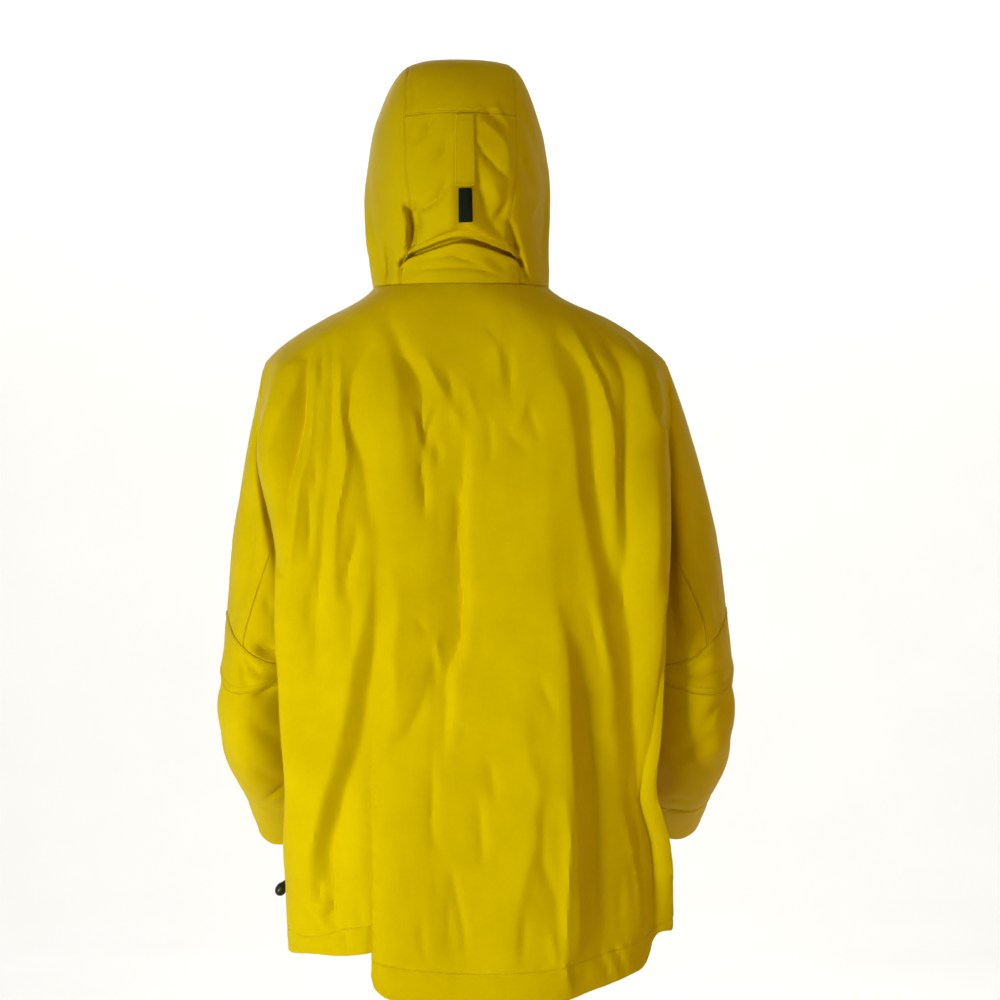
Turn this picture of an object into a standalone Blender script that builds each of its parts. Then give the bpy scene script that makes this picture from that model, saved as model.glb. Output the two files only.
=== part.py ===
"""A waterproof winter jacket with its hood up, hollow as it is worn.

Metres, +Z up.  The wearer faces -Y, the wearer's left is +X, and the origin is the middle of the
neck opening, at the level of the seam between the hood and the body.  The tables are in
millimetres and are turned to metres when a mesh is made.

Every cut piece is a wall of cloth on one of four smooth forms: the body, the hood and the two
sleeves.  A form is a loft: a grid of named points, with smooth curves through it both ways.
"""
import math

import bmesh
import bpy
import numpy as np

MM = 0.001
CLOTH = 2.0           # thickness of the coated shell with its lining, mm
HEM_CLOTH = 2.8       # thickness where the hem is turned up on itself
SEAM_GAP = 0.3        # clear gap left between two pieces that are sewn together

# ---------------------------------------------------------------- the body's form
# One row for each level.  back_z and front_z are the level at the back and at the front; the
# others are half widths and depths of the named points around the body, in order from the
# middle of the back: blade, wing (the outer back edge), side, corner and front.  Widths are
# given for the wearer's left, then the right where it differs; shift moves the row to the left.
BODY_COLUMNS = ("back_z", "front_z", "shift", "back_y", "blade_x", "blade_y", "wing_left",
                "wing_right", "wing_y", "side_left", "side_right", "side_y", "corner_x",
                "corner_y", "front_y")
BODY_ROWS = [
    (-6, -72, 7.5, 84, 48, 73, 82, 82, 46, 98, 98, 4, 66, -66, -94),
    (-20, -80, 7.5, 93, 60, 86, 100, 103, 54, 111, 115, 4, 82, -74, -100),
    (-42, -92, 4.5, 103, 78, 99, 133, 136, 64, 157, 162, 4, 102, -82, -106),
    (-64, -104, 3, 111, 94, 107, 160, 160, 74, 194, 196, 4, 118, -88, -112),
    (-88, -118, 2.5, 117, 105, 114, 179, 180, 86, 222, 223, 4, 132, -94, -117),
    (-135, -152, 0, 126, 112, 124, 196, 198, 97, 239, 236, 4, 142, -102, -126),
    (-200, -206, 0, 131, 114, 128, 202, 205, 101, 234, 230, 4, 144, -109, -134),
    (-270, -272, 0, 131, 114, 127, 204, 213, 103, 209, 214, 8, 140, -113, -138),
    (-340, -340, 0, 129, 113, 124, 208, 217, 99, 164, 170, 18, 136, -115, -140),
    (-378, -378, 0, 128, 112, 123, 209, 217, 95, 159, 163, 26, 134, -115, -141),
    (-430, -430, 0, 128, 112, 122, 207, 216, 88, 159, 161, 30, 133, -116, -143),
    (-500, -500, 0, 129, 111, 122, 203, 212, 86, 157, 160, 30, 133, -118, -146),
    (-560, -560, 0, 131, 110, 124, 199, 208, 82, 160, 164, 26, 134, -121, -149),
    (-620, -620, 0, 134, 110, 127, 202, 223, 74, 171, 184, 18, 137, -124, -152),
    (-690, -690, 0, 138, 112, 131, 203, 226, 66, 186, 206, 8, 143, -127, -155),
    (-760, -760, 0, 142, 114, 135, 199, 224, 60, 194, 212, 4, 147, -129, -157),
    (-830, -830, 0, 145, 115, 138, 198, 223, 58, 195, 212, 4, 149, -130, -158),
]
# Places around the body count from the middle of the back: blade 1, wing 2, side 3, corner 4 and
# front 5; the wearer's left is positive and the right is negative.
SIDE, FRONT = 3, 5
NECK_DROP = 6.0
SHOULDER_DROP = 88.0
UNDERARM_DROP = 340.0
ARMHOLE_BACK = 0.62      # how far the armhole reaches into the back, in places around the body
ARMHOLE_FRONT = 0.66
ARMHOLE_SQUARE = 2.3     # 2 is a plain oval; more is squarer
ARMHOLE_STEPS = 8
NECK_ROWS = [NECK_DROP, 20, 36, 54, 72]                # depths of the panels' rows above the armhole
SHOULDER_ROW = len(NECK_ROWS)
UNDERARM_ROW = SHOULDER_ROW + ARMHOLE_STEPS
LOWER_ROWS = 10
COLUMN_STEP = 0.25       # a column of the mesh for each quarter of a place
FRONT_COLUMNS = np.arange(SIDE, FRONT + 0.01, COLUMN_STEP)
STILL_PLACES = 1.5       # the mesh's columns beyond this draw in beside the armhole
VENT_PLACE = 0.9         # the vent, where the long tail ends, on the left of the back
VENT_SLIT = 0.006
TAIL_ROUNDING = [-1.9, -1.82, -1.68, 0.82, 0.87]      # more columns where the tail's hem turns

# The hem, as depths below the neck at places around the body, and the top of its turned-up band.
TAIL_HEM = [(-3, 715), (-2.3, 715), (-2.05, 716), (-1.9, 719), (-1.82, 728), (-1.75, 740),
            (-1.68, 750), (-1.5, 759), (-1.35, 765), (-1.15, 772), (-1, 778), (-0.7, 784),
            (0, 787), (0.5, 783), (0.7, 778), (0.8, 772), (0.87, 762), (0.9, 750)]
TAIL_BAND = [(-3, 700), (-2.25, 701), (-2, 704), (-1.75, 717), (-1.2, 735), (-0.95, 743),
             (-0.55, 748), (0, 749.5), (0.35, 747), (0.65, 743), (0.9, 737)]
SIDE_HEM = [(0.9, 729), (1.2, 734), (1.5, 735), (1.9, 738), (2.1, 736), (3, 735)]
SIDE_BAND = [(0.9, 700), (1.2, 705), (1.5, 716), (1.8, 713), (2.1, 709), (3, 708)]
FRONT_HEM = [(3, 735), (4, 738), (5, 740)]
FRONT_BAND = [(3, 708), (4, 711), (5, 713)]
FRONT_HEM_RIGHT = [(3, 715), (4, 730), (5, 740)]
FRONT_BAND_RIGHT = [(3, 700), (4, 707), (5, 713)]

# The largest folds: each runs through points (x, z) on the back or the front.  depth is how far
# it stands out, and a trough is less than nothing; width is half its breadth.
FOLD_COLUMNS = ("face", "width", "depth", "line")
FOLD_START, FOLD_RUN, FOLD_FADE = 0.12, 0.76, 0.7      # how a fold dies away at its two ends
FOLDS = [
    ("back", 20, -11, [(104, -300), (112, -400), (134, -520), (156, -620), (167, -690)]),
    ("back", 19, 7, [(80, -280), (84, -400), (100, -520), (122, -640)]),
    ("back", 17, -10, [(-100, -350), (-112, -474), (-121, -580), (-124, -680), (-131, -740)]),
    ("back", 15, 7, [(-80, -330), (-92, -480), (-100, -600), (-102, -740)]),
    ("back", 15, -6, [(124, -120), (119, -237), (115, -285)]),
    ("back", 16, 6, [(143, -70), (141, -183), (150, -302), (165, -440)]),
    ("back", 12, -5, [(172, -95), (180, -180), (178, -260)]),
    ("back", 18, 6, [(-112, -70), (-140, -160), (-152, -300)]),
    ("back", 13, -5, [(-165, -120), (-170, -300), (-168, -390)]),
    ("back", 24, 5, [(2, -170), (0, -300), (-6, -400)]),
    ("back", 18, -5, [(70, -90), (60, -150), (40, -190)]),
    ("front", 22, -8, [(-70, -200), (-92, -360), (-104, -520), (-96, -680)]),
    ("front", 20, -8, [(78, -230), (96, -390), (98, -540), (110, -700)]),
    ("front", 24, 6, [(46, -160), (60, -330), (62, -520)]),
    ("front", 22, 6, [(-44, -180), (-54, -380), (-62, -600)]),
]

# ---------------------------------------------------------------- the hood's form
# Five lines run from the neck seam up and over to the edge round the face; each has a point
# (half width, y, z) for each of the twelve rows.  The first row lies on the body's neck.
HOOD_LINES = {
    "centre": [(0, 84, -6), (0, 86, 12), (0, 93, 35), (0, 107, 29), (0, 121, 62), (0, 126, 110),
               (0, 122, 155), (0, 104, 200), (0, 66, 234), (0, 10, 249), (0, -52, 250),
               (0, -112, 238)],
    "seam": [(71, 58, -6), (64, 66, 14), (56, 76, 33), (51, 86, 42), (54, 96, 68), (60, 102, 110),
             (61, 98, 155), (61, 84, 196), (59, 52, 227), (56, 6, 242), (55, -54, 243),
             (54, -110, 232)],
    "side": [(98, 4, -6), (99, 10, 14), (99, 12, 30), (99.5, 14, 46), (100, 16, 70), (100, 18, 104),
             (98, 16, 140), (93, 8, 172), (83, -12, 202), (73, -44, 219), (70, -80, 224),
             (65, -108, 224)],
    "cheek": [(66, -66, -42), (76, -64, -22), (84, -62, -2), (90, -61, 20), (94, -60, 48), (96, -60, 84),
              (95, -60, 120), (91, -64, 152), (85, -74, 180), (79, -88, 200),
              (73, -100, 211), (69, -109, 216)],
    "face": [(5, -94, -72), (18, -103, -48), (34, -108, -22), (48, -111, 4), (60, -114, 34), (70, -116, 68),
             (77, -117, 102), (80, -117, 134), (80, -116, 160), (78, -114, 182),
             (74, -112, 198), (72, -110, 208)],
}
NECK_SHIFT = 7.5                       # the neck sits this far to the left of the body's middle
# How far each line lies to the left, above the nape and at the top: the head leans and turns.
HOOD_SHIFT = {"centre": (5, 11), "seam": (5, 11), "side": (11.5, 11), "cheek": (9, 11), "face": (8, 10)}
HOOD_SHIFT_ROWS = 3                    # rows over which the lean comes in
HOOD_LAST_ROW = 11
HOOD_FACE = 4                          # places across the hood count from its centre, 0, to its face
HOOD_PLACES = [0, 1.5, 3, 4, 5]        # the body's places below the hood's five lines
CROWN_SEAM_ROW = 6.45                  # the seam between the crown and the back of the hood
HOOD_ROWS = [0, 1, 1.5, 2, 2.5, 3, 3.5, 4, 5, CROWN_SEAM_ROW, 7, 8, 9, 10, HOOD_LAST_ROW]

# The adjuster: a tab of the shell cloth over a strip of black hook-and-loop.
TAB_WIDTH, TAB_TOP_ROW, TAB_END_ROW, TAB_CLOTH = 20.0, 6.40, 4.69, 2.2
STRIP_WIDTH, STRIP_TOP_ROW, STRIP_END_ROW, STRIP_CLOTH = 14.0, 4.65, 3.87, 1.6
TAB_FLARE = 1.2                        # the tab widens by this much for each row down
TAB_ASIDE = -4.6                       # both lie this far to the right of the hood's middle
TAB_STAND = 0.3                        # gap between the hood and what is sewn on it

# ---------------------------------------------------------------- the sleeves' form
# Rings below the armhole: centre, half breadth across and fore-and-aft, how far the arm is bent
# forward there (bend) and how far the ring's outer edge is lifted (lift), in degrees.
RING_COLUMNS = ("x", "y", "z", "across", "along", "bend", "lift")
SLEEVE_RINGS = {
    "left": [
        (218, -10, -290, 68, 65, 0, 57),
        (222, -12, -364, 45, 67, 4, 8),
        (226, -8, -412, 48, 67, 10, 3),
        (231, -2, -458, 50, 62, 28, 0),
        (230, -24, -502, 49, 57, 42, 0),
        (226, -54, -534, 46, 50, 52, 0),
        (218, -86, -560, 42, 43, 55, -4),
        (213, -121, -583, 42, 42, 55, -8),
        (207, -154, -609, 42, 42, 55, -14),
    ],
    "right": [
        (227, -10, -294, 72, 65, 0, 55),
        (238, -12, -364, 49, 67, 4, 10),
        (243, -8, -412, 51, 67, 10, 4),
        (248, -2, -460, 52, 62, 28, 0),
        (248, -24, -506, 50, 57, 42, 0),
        (245, -54, -540, 45, 50, 52, 0),
        (241, -86, -564, 39, 43, 55, -4),
        (236, -121, -585, 40, 41, 55, -7),
        (230, -154, -605, 40, 40, 55, -11),
    ],
}
RING_SQUARE = 2.25
RING_POINTS = 12
CUFF_ROW, SLEEVE_END_ROW = 7, 9
SLEEVE_SEAMS = (112.5, 247.5)         # rear and front seam at the armhole, degrees round the arm
REAR_SEAM_AT_ELBOW = 62               # the rear seam swings outwards on its way down
SWING_ROWS = 2.6                      # rows below the armhole over which it does so
ELBOW_ROW = 2.8                       # near enough the level of the seam above the elbow
# Level of the seams above and below the elbow piece, as rows, for angles round the arm.
ELBOW_TOP = [(0, 2.12), (50, 2.55), (80, 2.86), (110, 3.0), (180, 2.85), (240, 2.5), (300, 2.2)]
ELBOW_END = [(0, 3.45), (50, 3.56), (80, 3.5), (110, 3.4), (180, 3.35), (240, 3.4), (300, 3.42)]

# ---------------------------------------------------------------- zip and toggle
FRONT_EDGE = 7.0                       # the fronts end this far from the middle
TAPE_INNER, TAPE_OUTER, TAPE_CLOTH = 2.4, 15.0, 0.8
COIL_HALF, COIL_THICK, COIL_SINK = 1.9, 2.2, 2.4
ZIP_ROWS = 22
SLIDER_DROP = 16.0                     # the slider's middle, near the top of the zip
SLIDER_BODY = (9.0, 15.0)              # its width and length, mm
SLIDER_UNDER, SLIDER_OVER = -2.0, 1.4  # how far its faces stand out from the fronts
BRIDGE_WIDTH, BRIDGE_OUTER, BRIDGE_INNER = 3.2, 2.9, 1.45   # the loop that holds the tab
BRIDGE_SUNK = 1.0                      # how far its feet reach into the slider
PULL_WIDTH, PULL_THICK, PULL_LENGTH = 7.2, 1.4, 27.0
PULL_HOLE = (2.1, 0.8, 4.5)            # half width, start and end of the hole, from the axis
TOGGLE_DROP, TOGGLE_PLACE = 661.0, 2.42
TOGGLE_LEAN = 33.0                     # degrees that it leans out from straight down
# The toggle's outline: distance along it from its tip, and radius.
TOGGLE_TURNED = [(0, 1.6), (3.5, 2.1), (6.5, 3.4), (10, 6.0), (14, 6.9), (18, 6.3), (21, 4.2), (22.5, 1.4)]
TOGGLE_SIDES = 12

COATED_YELLOW = ((0.604, 0.425, 0.006), 0.62)
SHADED_YELLOW = ((0.565, 0.395, 0.006), 0.66)
BLACK_TAPE = ((0.013, 0.018, 0.013), 0.85)
BLACK_PLASTIC = ((0.012, 0.012, 0.012), 0.42)
GREY_METAL = ((0.19, 0.19, 0.19), 0.38)


# ---------------------------------------------------------------- smooth curves and lofts
def named(columns, row):
    return dict(zip(columns, row))


def slopes(knots, values):
    """Slope at each knot of a smooth curve through the values, by the three-point rule."""
    gap = np.diff(knots)
    chord = np.diff(values, axis=0) / gap.reshape((-1,) + (1,) * (values.ndim - 1))
    before, after = gap[:-1], gap[1:]
    shape = (-1,) + (1,) * (values.ndim - 1)
    middle = (chord[:-1] * after.reshape(shape) + chord[1:] * before.reshape(shape))
    middle = middle / (before + after).reshape(shape)
    first = 2 * chord[:1] - middle[:1]
    last = 2 * chord[-1:] - middle[-1:]
    return np.concatenate([first, middle, last])


def blend(t, length, start, end, start_slope, end_slope):
    """The cubic between two points with given slopes, t from 0 to 1."""
    back = 1 - t
    return ((1 + 2 * t) * back * back * start + t * back * back * length * start_slope
            + t * t * (3 - 2 * t) * end - t * t * back * length * end_slope)


def smooth(table, at):
    """Read a table of (place, value) pairs along a smooth curve."""
    knots = np.array([row[0] for row in table], float)
    values = np.array([row[1] for row in table], float)
    at = np.clip(np.asarray(at, float), knots[0], knots[-1])
    k = np.clip(np.searchsorted(knots, at, side="right") - 1, 0, len(knots) - 2)
    slope = slopes(knots, values)
    length = knots[k + 1] - knots[k]
    return blend((at - knots[k]) / length, length, values[k], values[k + 1], slope[k], slope[k + 1])


class Loft:
    """A smooth surface through a grid of points: rows at the given knots, places across them."""

    def __init__(self, knots, grid, closed, first_place=0, outward=1):
        self.knots = np.array(knots, float)
        self.grid = np.array(grid, float)
        self.slope = slopes(self.knots, self.grid)
        self.closed, self.first_place, self.outward = closed, first_place, outward

    def point(self, place, row):
        place, row = np.broadcast_arrays(np.asarray(place, float), np.asarray(row, float))
        shape = place.shape
        place, row = place.ravel() - self.first_place, row.ravel()
        k = np.clip(np.searchsorted(self.knots, row, side="right") - 1, 0, len(self.knots) - 2)
        length = (self.knots[k + 1] - self.knots[k])[:, None, None]
        t = (row - self.knots[k])[:, None, None] / length
        across = blend(t, length, self.grid[k], self.grid[k + 1], self.slope[k], self.slope[k + 1])
        count = across.shape[1]
        each = np.arange(len(place))
        if self.closed:
            j = np.floor(place).astype(int)
            p0, p1, p2, p3 = (across[each, (j + step) % count] for step in (-1, 0, 1, 2))
        else:
            j = np.clip(np.floor(place).astype(int), 0, count - 2)
            p1, p2 = across[each, j], across[each, j + 1]
            p0 = np.where((j > 0)[:, None], across[each, np.maximum(j - 1, 0)], 2 * p1 - p2)
            p3 = np.where((j < count - 2)[:, None], across[each, np.minimum(j + 2, count - 1)], 2 * p2 - p1)
        d0, d1, d2 = (np.linalg.norm(b - a, axis=1)[:, None] + 1e-6
                      for a, b in ((p0, p1), (p1, p2), (p2, p3)))
        leave = ((p1 - p0) / d0 * d1 + (p2 - p1) / d1 * d0) / (d0 + d1)
        arrive = ((p2 - p1) / d1 * d2 + (p3 - p2) / d2 * d1) / (d1 + d2)
        found = blend((place - j)[:, None], d1, p1, p2, leave, arrive)
        return found.reshape(shape + (3,))

    def normal(self, place, row, step=0.02):
        row_step = step * (self.knots[-1] - self.knots[0]) / len(self.knots)
        row = np.clip(row, self.knots[0] + row_step, self.knots[-1] - row_step)
        along = self.point(place, row + row_step) - self.point(place, row - row_step)
        around = self.point(place + step, row) - self.point(place - step, row)
        across = np.cross(around, along) * self.outward
        return across / np.linalg.norm(across, axis=-1, keepdims=True)


def body_form():
    grid, drops = [], []
    for values in BODY_ROWS:
        r = named(BODY_COLUMNS, values)
        middle_z = (r["back_z"] + r["front_z"]) / 2
        left = [(r["blade_x"], r["blade_y"], r["back_z"]), (r["wing_left"], r["wing_y"], r["back_z"]),
                (r["side_left"], r["side_y"], r["back_z"]), (r["corner_x"], r["corner_y"], middle_z)]
        right = [(-r["blade_x"], r["blade_y"], r["back_z"]), (-r["wing_right"], r["wing_y"], r["back_z"]),
                 (-r["side_right"], r["side_y"], r["back_z"]), (-r["corner_x"], r["corner_y"], middle_z)]
        ring = [(0, r["back_y"], r["back_z"])] + left + [(0, r["front_y"], r["front_z"])] + right[::-1]
        grid.append([(x + r["shift"], y, z) for x, y, z in ring])
        drops.append(-r["back_z"])
    return Loft(drops, grid, closed=True)


def hood_form(body):
    neck = body.point(np.array(HOOD_PLACES), NECK_DROP)
    grid = []
    for row in range(HOOD_LAST_ROW + 1):
        lean = min(row / HOOD_SHIFT_ROWS, 1.0)
        right, left = [], []
        for line, (name, points) in enumerate(HOOD_LINES.items()):
            x, y, z = points[row]
            nape_shift, top_shift = HOOD_SHIFT[name]
            shift = nape_shift + (top_shift - nape_shift) * (row / HOOD_LAST_ROW) ** 2
            shift = NECK_SHIFT + (shift - NECK_SHIFT) * lean
            if row == 0:
                x, y, z = neck[line] - (NECK_SHIFT, 0, 0)
            left.append((shift + x, y, z))
            right.append((shift - x, y, z))
        grid.append(right[:0:-1] + left)
    return Loft(range(HOOD_LAST_ROW + 1), grid, closed=False, first_place=-HOOD_FACE, outward=-1)


def armhole_place(drop, reach):
    """How far the armhole's edge is from the side line at a depth below the neck."""
    middle = (SHOULDER_DROP + UNDERARM_DROP) / 2
    half = (UNDERARM_DROP - SHOULDER_DROP) / 2
    level = np.clip(np.abs((np.asarray(drop, float) - middle) / half), 0, 1)
    return reach * (1 - level ** ARMHOLE_SQUARE) ** (1 / ARMHOLE_SQUARE)


def armhole_point(angle, side):
    """Place and depth on the body for an angle round the armhole: 0 top, 90 back, 180 underarm."""
    angle = np.radians(np.asarray(angle, float))
    middle = (SHOULDER_DROP + UNDERARM_DROP) / 2
    half = (UNDERARM_DROP - SHOULDER_DROP) / 2
    drop = middle - half * np.cos(angle)
    to_back = np.sin(angle) >= 0
    reach = np.where(to_back, ARMHOLE_BACK, ARMHOLE_FRONT)
    away = armhole_place(drop, reach)
    return side * (SIDE - np.where(to_back, away, -away)), drop


def ring_points(values, side, angles):
    r = named(RING_COLUMNS, values)
    bend, lift = math.radians(r["bend"]), math.radians(r["lift"])
    out = np.array([side * math.cos(lift), 0, math.sin(lift)])
    back = np.array([0, math.cos(bend), -math.sin(bend)])
    centre = np.array([side * r["x"], r["y"], r["z"]])
    cosine, sine = np.cos(np.radians(angles)), np.sin(np.radians(angles))
    reach = (np.abs(cosine) ** RING_SQUARE + np.abs(sine) ** RING_SQUARE) ** (-1 / RING_SQUARE)
    return (centre + (r["across"] * reach * cosine)[:, None] * out
            + (r["along"] * reach * sine)[:, None] * back)


def sleeve_form(body, side):
    angles = np.arange(RING_POINTS) * 360 / RING_POINTS
    grid = [body.point(*armhole_point(angles, side))]
    grid += [ring_points(row, side, angles) for row in SLEEVE_RINGS["left" if side > 0 else "right"]]
    return Loft(range(len(grid)), grid, closed=True, outward=-side)


# ---------------------------------------------------------------- folds
def along_line(x, z, line):
    """Distance from a folded line of points, and how far along it the nearest point lies, 0 to 1."""
    line = np.array(line, float)
    ends = np.concatenate([[0], np.cumsum(np.linalg.norm(np.diff(line, axis=0), axis=1))])
    nearest, along = np.full(x.shape, 1e9), np.zeros(x.shape)
    for start, end, run in zip(line[:-1], line[1:], ends[:-1]):
        way = end - start
        t = np.clip(((x - start[0]) * way[0] + (z - start[1]) * way[1]) / (way @ way), 0, 1)
        distance = np.hypot(x - start[0] - t * way[0], z - start[1] - t * way[1])
        closer = distance < nearest
        nearest = np.where(closer, distance, nearest)
        along = np.where(closer, (run + t * np.linalg.norm(way)) / ends[-1], along)
    return nearest, along


def fold_relief(points, facing):
    """How far the folds move each point of the body outwards."""
    x, z = points[..., 0], points[..., 2]
    relief = np.zeros(x.shape)
    for values in FOLDS:
        f = named(FOLD_COLUMNS, values)
        distance, along = along_line(x, z, f["line"])
        faces = np.clip(facing * (1 if f["face"] == "back" else -1), 0, 1)
        strength = np.sin(np.pi * (FOLD_START + FOLD_RUN * along)) ** FOLD_FADE
        relief += f["depth"] * strength * np.exp(-(distance / f["width"]) ** 2) * faces
    return relief


def on_body(body, place, drop):
    """Points of the folded body and the way out of it."""
    points, out = body.point(place, drop), body.normal(place, drop)
    return points + out * fold_relief(points, out[..., 1])[..., None], out


# ---------------------------------------------------------------- solids
def material(name, finish, metallic=0.0):
    colour, roughness = finish
    found = bpy.data.materials.get(name) or bpy.data.materials.new(name)
    found.use_nodes = True
    shader = found.node_tree.nodes["Principled BSDF"]
    shader.inputs["Base Color"].default_value = (*colour, 1)
    shader.inputs["Roughness"].default_value = roughness
    shader.inputs["Metallic"].default_value = metallic
    found.diffuse_color = (*colour, 1)
    return found


def solid(name, points, faces, finish):
    """One closed mesh from points in millimetres, with its faces turned outwards."""
    mesh = bpy.data.meshes.new(name)
    mesh.from_pydata([tuple(float(c) * MM for c in p) for p in points], [], faces)
    shape = bmesh.new()
    shape.from_mesh(mesh)
    bmesh.ops.recalc_face_normals(shape, faces=shape.faces)
    bmesh.ops.triangulate(shape, faces=shape.faces)
    shape.to_mesh(mesh)
    shape.free()
    mesh.shade_smooth()
    mesh.set_sharp_from_angle(angle=math.radians(40))
    mesh.materials.append(finish)
    made = bpy.data.objects.new(name, mesh)
    bpy.context.collection.objects.link(made)
    return made


def pull_in(grid, gap):
    """Draw a grid's edges back by half a seam gap, except where an edge joins itself."""
    grid = grid.copy()
    for edge, inner in ((0, 1), (-1, -2)):
        way = grid[inner] - grid[edge]
        grid[edge] = grid[edge] + way * (gap / 2 / np.linalg.norm(way, axis=-1, keepdims=True))
    return grid


def cloth(name, points, out, finish, thickness=CLOTH, tube=False, sink=0.0):
    """A wall of cloth: the grid's points are its outer face, and it lies inside them."""
    outer = points - out * sink
    outer = pull_in(outer, SEAM_GAP)
    if not tube:
        outer = pull_in(outer.transpose(1, 0, 2), SEAM_GAP).transpose(1, 0, 2)
    inner = outer - out * thickness
    rows, columns = outer.shape[:2]
    count = rows * columns
    faces = []
    wrap = columns if tube else columns - 1
    for i in range(rows - 1):
        for j in range(wrap):
            a, b = i * columns + j, i * columns + (j + 1) % columns
            c, d = b + columns, a + columns
            faces += [(a, b, c, d), (d + count, c + count, b + count, a + count)]
    for i in (0, rows - 1):
        for j in range(wrap):
            a, b = i * columns + j, i * columns + (j + 1) % columns
            faces.append((a, b, b + count, a + count))
    if not tube:
        for j in (0, columns - 1):
            for i in range(rows - 1):
                a, b = i * columns + j, (i + 1) * columns + j
                faces.append((a, b, b + count, a + count))
    return solid(name, np.concatenate([outer.reshape(-1, 3), inner.reshape(-1, 3)]), faces, finish)


def mitre(first, second):
    """The direction half way between two surfaces that meet at a seam."""
    middle = first + second
    return middle / np.linalg.norm(middle, axis=-1, keepdims=True)


# ---------------------------------------------------------------- the body's panels
def body_rows(hem_drop):
    """Depths of the mesh's rows from the neck down, one list for each column of hem_drop."""
    angles = np.arange(ARMHOLE_STEPS + 1) * math.pi / ARMHOLE_STEPS
    middle, half = (SHOULDER_DROP + UNDERARM_DROP) / 2, (UNDERARM_DROP - SHOULDER_DROP) / 2
    above = np.array(NECK_ROWS + list(middle - half * np.cos(angles)))
    upper = np.broadcast_to(above[:, None], (len(above), len(hem_drop)))
    steps = np.arange(1, LOWER_ROWS + 1)[:, None] / LOWER_ROWS
    lower = UNDERARM_DROP + (hem_drop[None, :] - UNDERARM_DROP) * steps
    return np.concatenate([upper, lower])


def seam_out(hood, sleeves, place, out, armholes):
    """Turn the way out at the neck and armholes to half way towards the hood and the sleeves."""
    out = out.copy()
    hood_place = np.interp(np.abs(place[0]), HOOD_PLACES, range(5)) * np.sign(place[0])
    out[0] = mitre(out[0], hood.normal(hood_place, 0.02))
    for column, side in armholes:
        for row in range(SHOULDER_ROW, UNDERARM_ROW + 1):
            angle = 180 * (row - SHOULDER_ROW) / ARMHOLE_STEPS
            if abs(place[row, column]) > SIDE:
                angle = 360 - angle
            there = sleeves[side].normal(angle * RING_POINTS / 360, 0.02)
            out[row, column] = mitre(out[row, column], there)
    return out


def back_panel(body, hood, sleeves, finish):
    places = np.sort(np.concatenate([np.arange(-SIDE, SIDE + 0.01, COLUMN_STEP),
                                     [VENT_PLACE - VENT_SLIT, VENT_PLACE + VENT_SLIT]]))
    bottom = np.where(places < VENT_PLACE, smooth(TAIL_BAND, places), smooth(SIDE_BAND, places))
    drop = body_rows(bottom)
    edge = SIDE - armhole_place(drop, ARMHOLE_BACK)
    edge = np.where((drop < SHOULDER_DROP) | (drop > UNDERARM_DROP), SIDE, edge)
    beyond = np.clip(np.abs(places) - STILL_PLACES, 0, None)[None, :]
    pulled = beyond * (1 - (SIDE - edge) / (SIDE - STILL_PLACES))
    place = np.sign(places)[None, :] * (np.minimum(np.abs(places), STILL_PLACES)[None, :] + pulled)
    points, out = on_body(body, place, drop)
    out = seam_out(hood, sleeves, place, out, [(-1, 1), (0, -1)])
    cloth("back", points, out, finish)


def front_panel(body, hood, sleeves, side, finish):
    hem = FRONT_BAND if side > 0 else FRONT_BAND_RIGHT
    drop = body_rows(smooth(hem, FRONT_COLUMNS))
    place = side * front_places(body, drop)
    points, out = on_body(body, place, drop)
    out = seam_out(hood, sleeves, place, out, [(0, side)])
    cloth("front_" + ("left" if side > 0 else "right"), points, out, finish)


def front_places(body, drop):
    """Places of a front's columns, from the armhole or the side to its edge beside the zip."""
    start = SIDE + armhole_place(drop, ARMHOLE_FRONT)
    start = np.where((drop < SHOULDER_DROP) | (drop > UNDERARM_DROP), SIDE, start)
    end = FRONT - FRONT_EDGE / front_breadth(body, drop)
    return start + (end - start) * (FRONT_COLUMNS - SIDE) / (FRONT - SIDE)


def front_breadth(body, drop):
    """Millimetres across the front for one place near its middle."""
    near = body.point(FRONT - 0.05, drop)
    return np.linalg.norm(body.point(FRONT, drop) - near, axis=-1) / 0.05


def hem_band(body, name, places, top, end, finish):
    """A turned-up hem between two depths, given for each of its places."""
    drop = np.linspace(top, end, 3)
    points, out = on_body(body, np.broadcast_to(places, drop.shape), drop)
    cloth(name, points, out, finish, thickness=HEM_CLOTH)


def hem_bands(body, finish):
    above = np.append(np.arange(-SIDE, VENT_PLACE, COLUMN_STEP), VENT_PLACE - VENT_SLIT)
    tail = np.sort(np.append(above, TAIL_ROUNDING))
    top = np.interp(tail, above, smooth(TAIL_BAND, above))      # straight between the back's columns
    hem_band(body, "hem_tail", tail, top, smooth(TAIL_HEM, tail), finish)
    side = np.concatenate([[VENT_PLACE + VENT_SLIT], np.arange(1, SIDE + 0.01, COLUMN_STEP)])
    hem_band(body, "hem_side_left", side, smooth(SIDE_BAND, side), smooth(SIDE_HEM, side), finish)
    for sign, name, top, end in ((1, "left", FRONT_BAND, FRONT_HEM),
                                 (-1, "right", FRONT_BAND_RIGHT, FRONT_HEM_RIGHT)):
        top_drop, end_drop = smooth(top, FRONT_COLUMNS), smooth(end, FRONT_COLUMNS)
        hem_band(body, "hem_front_" + name, sign * front_places(body, top_drop), top_drop, end_drop, finish)


# ---------------------------------------------------------------- the hood's panels
def hood_rows(first, last):
    """Rows of the hood's mesh between two levels."""
    return np.array([row for row in HOOD_ROWS if first <= row <= last], float)


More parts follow.
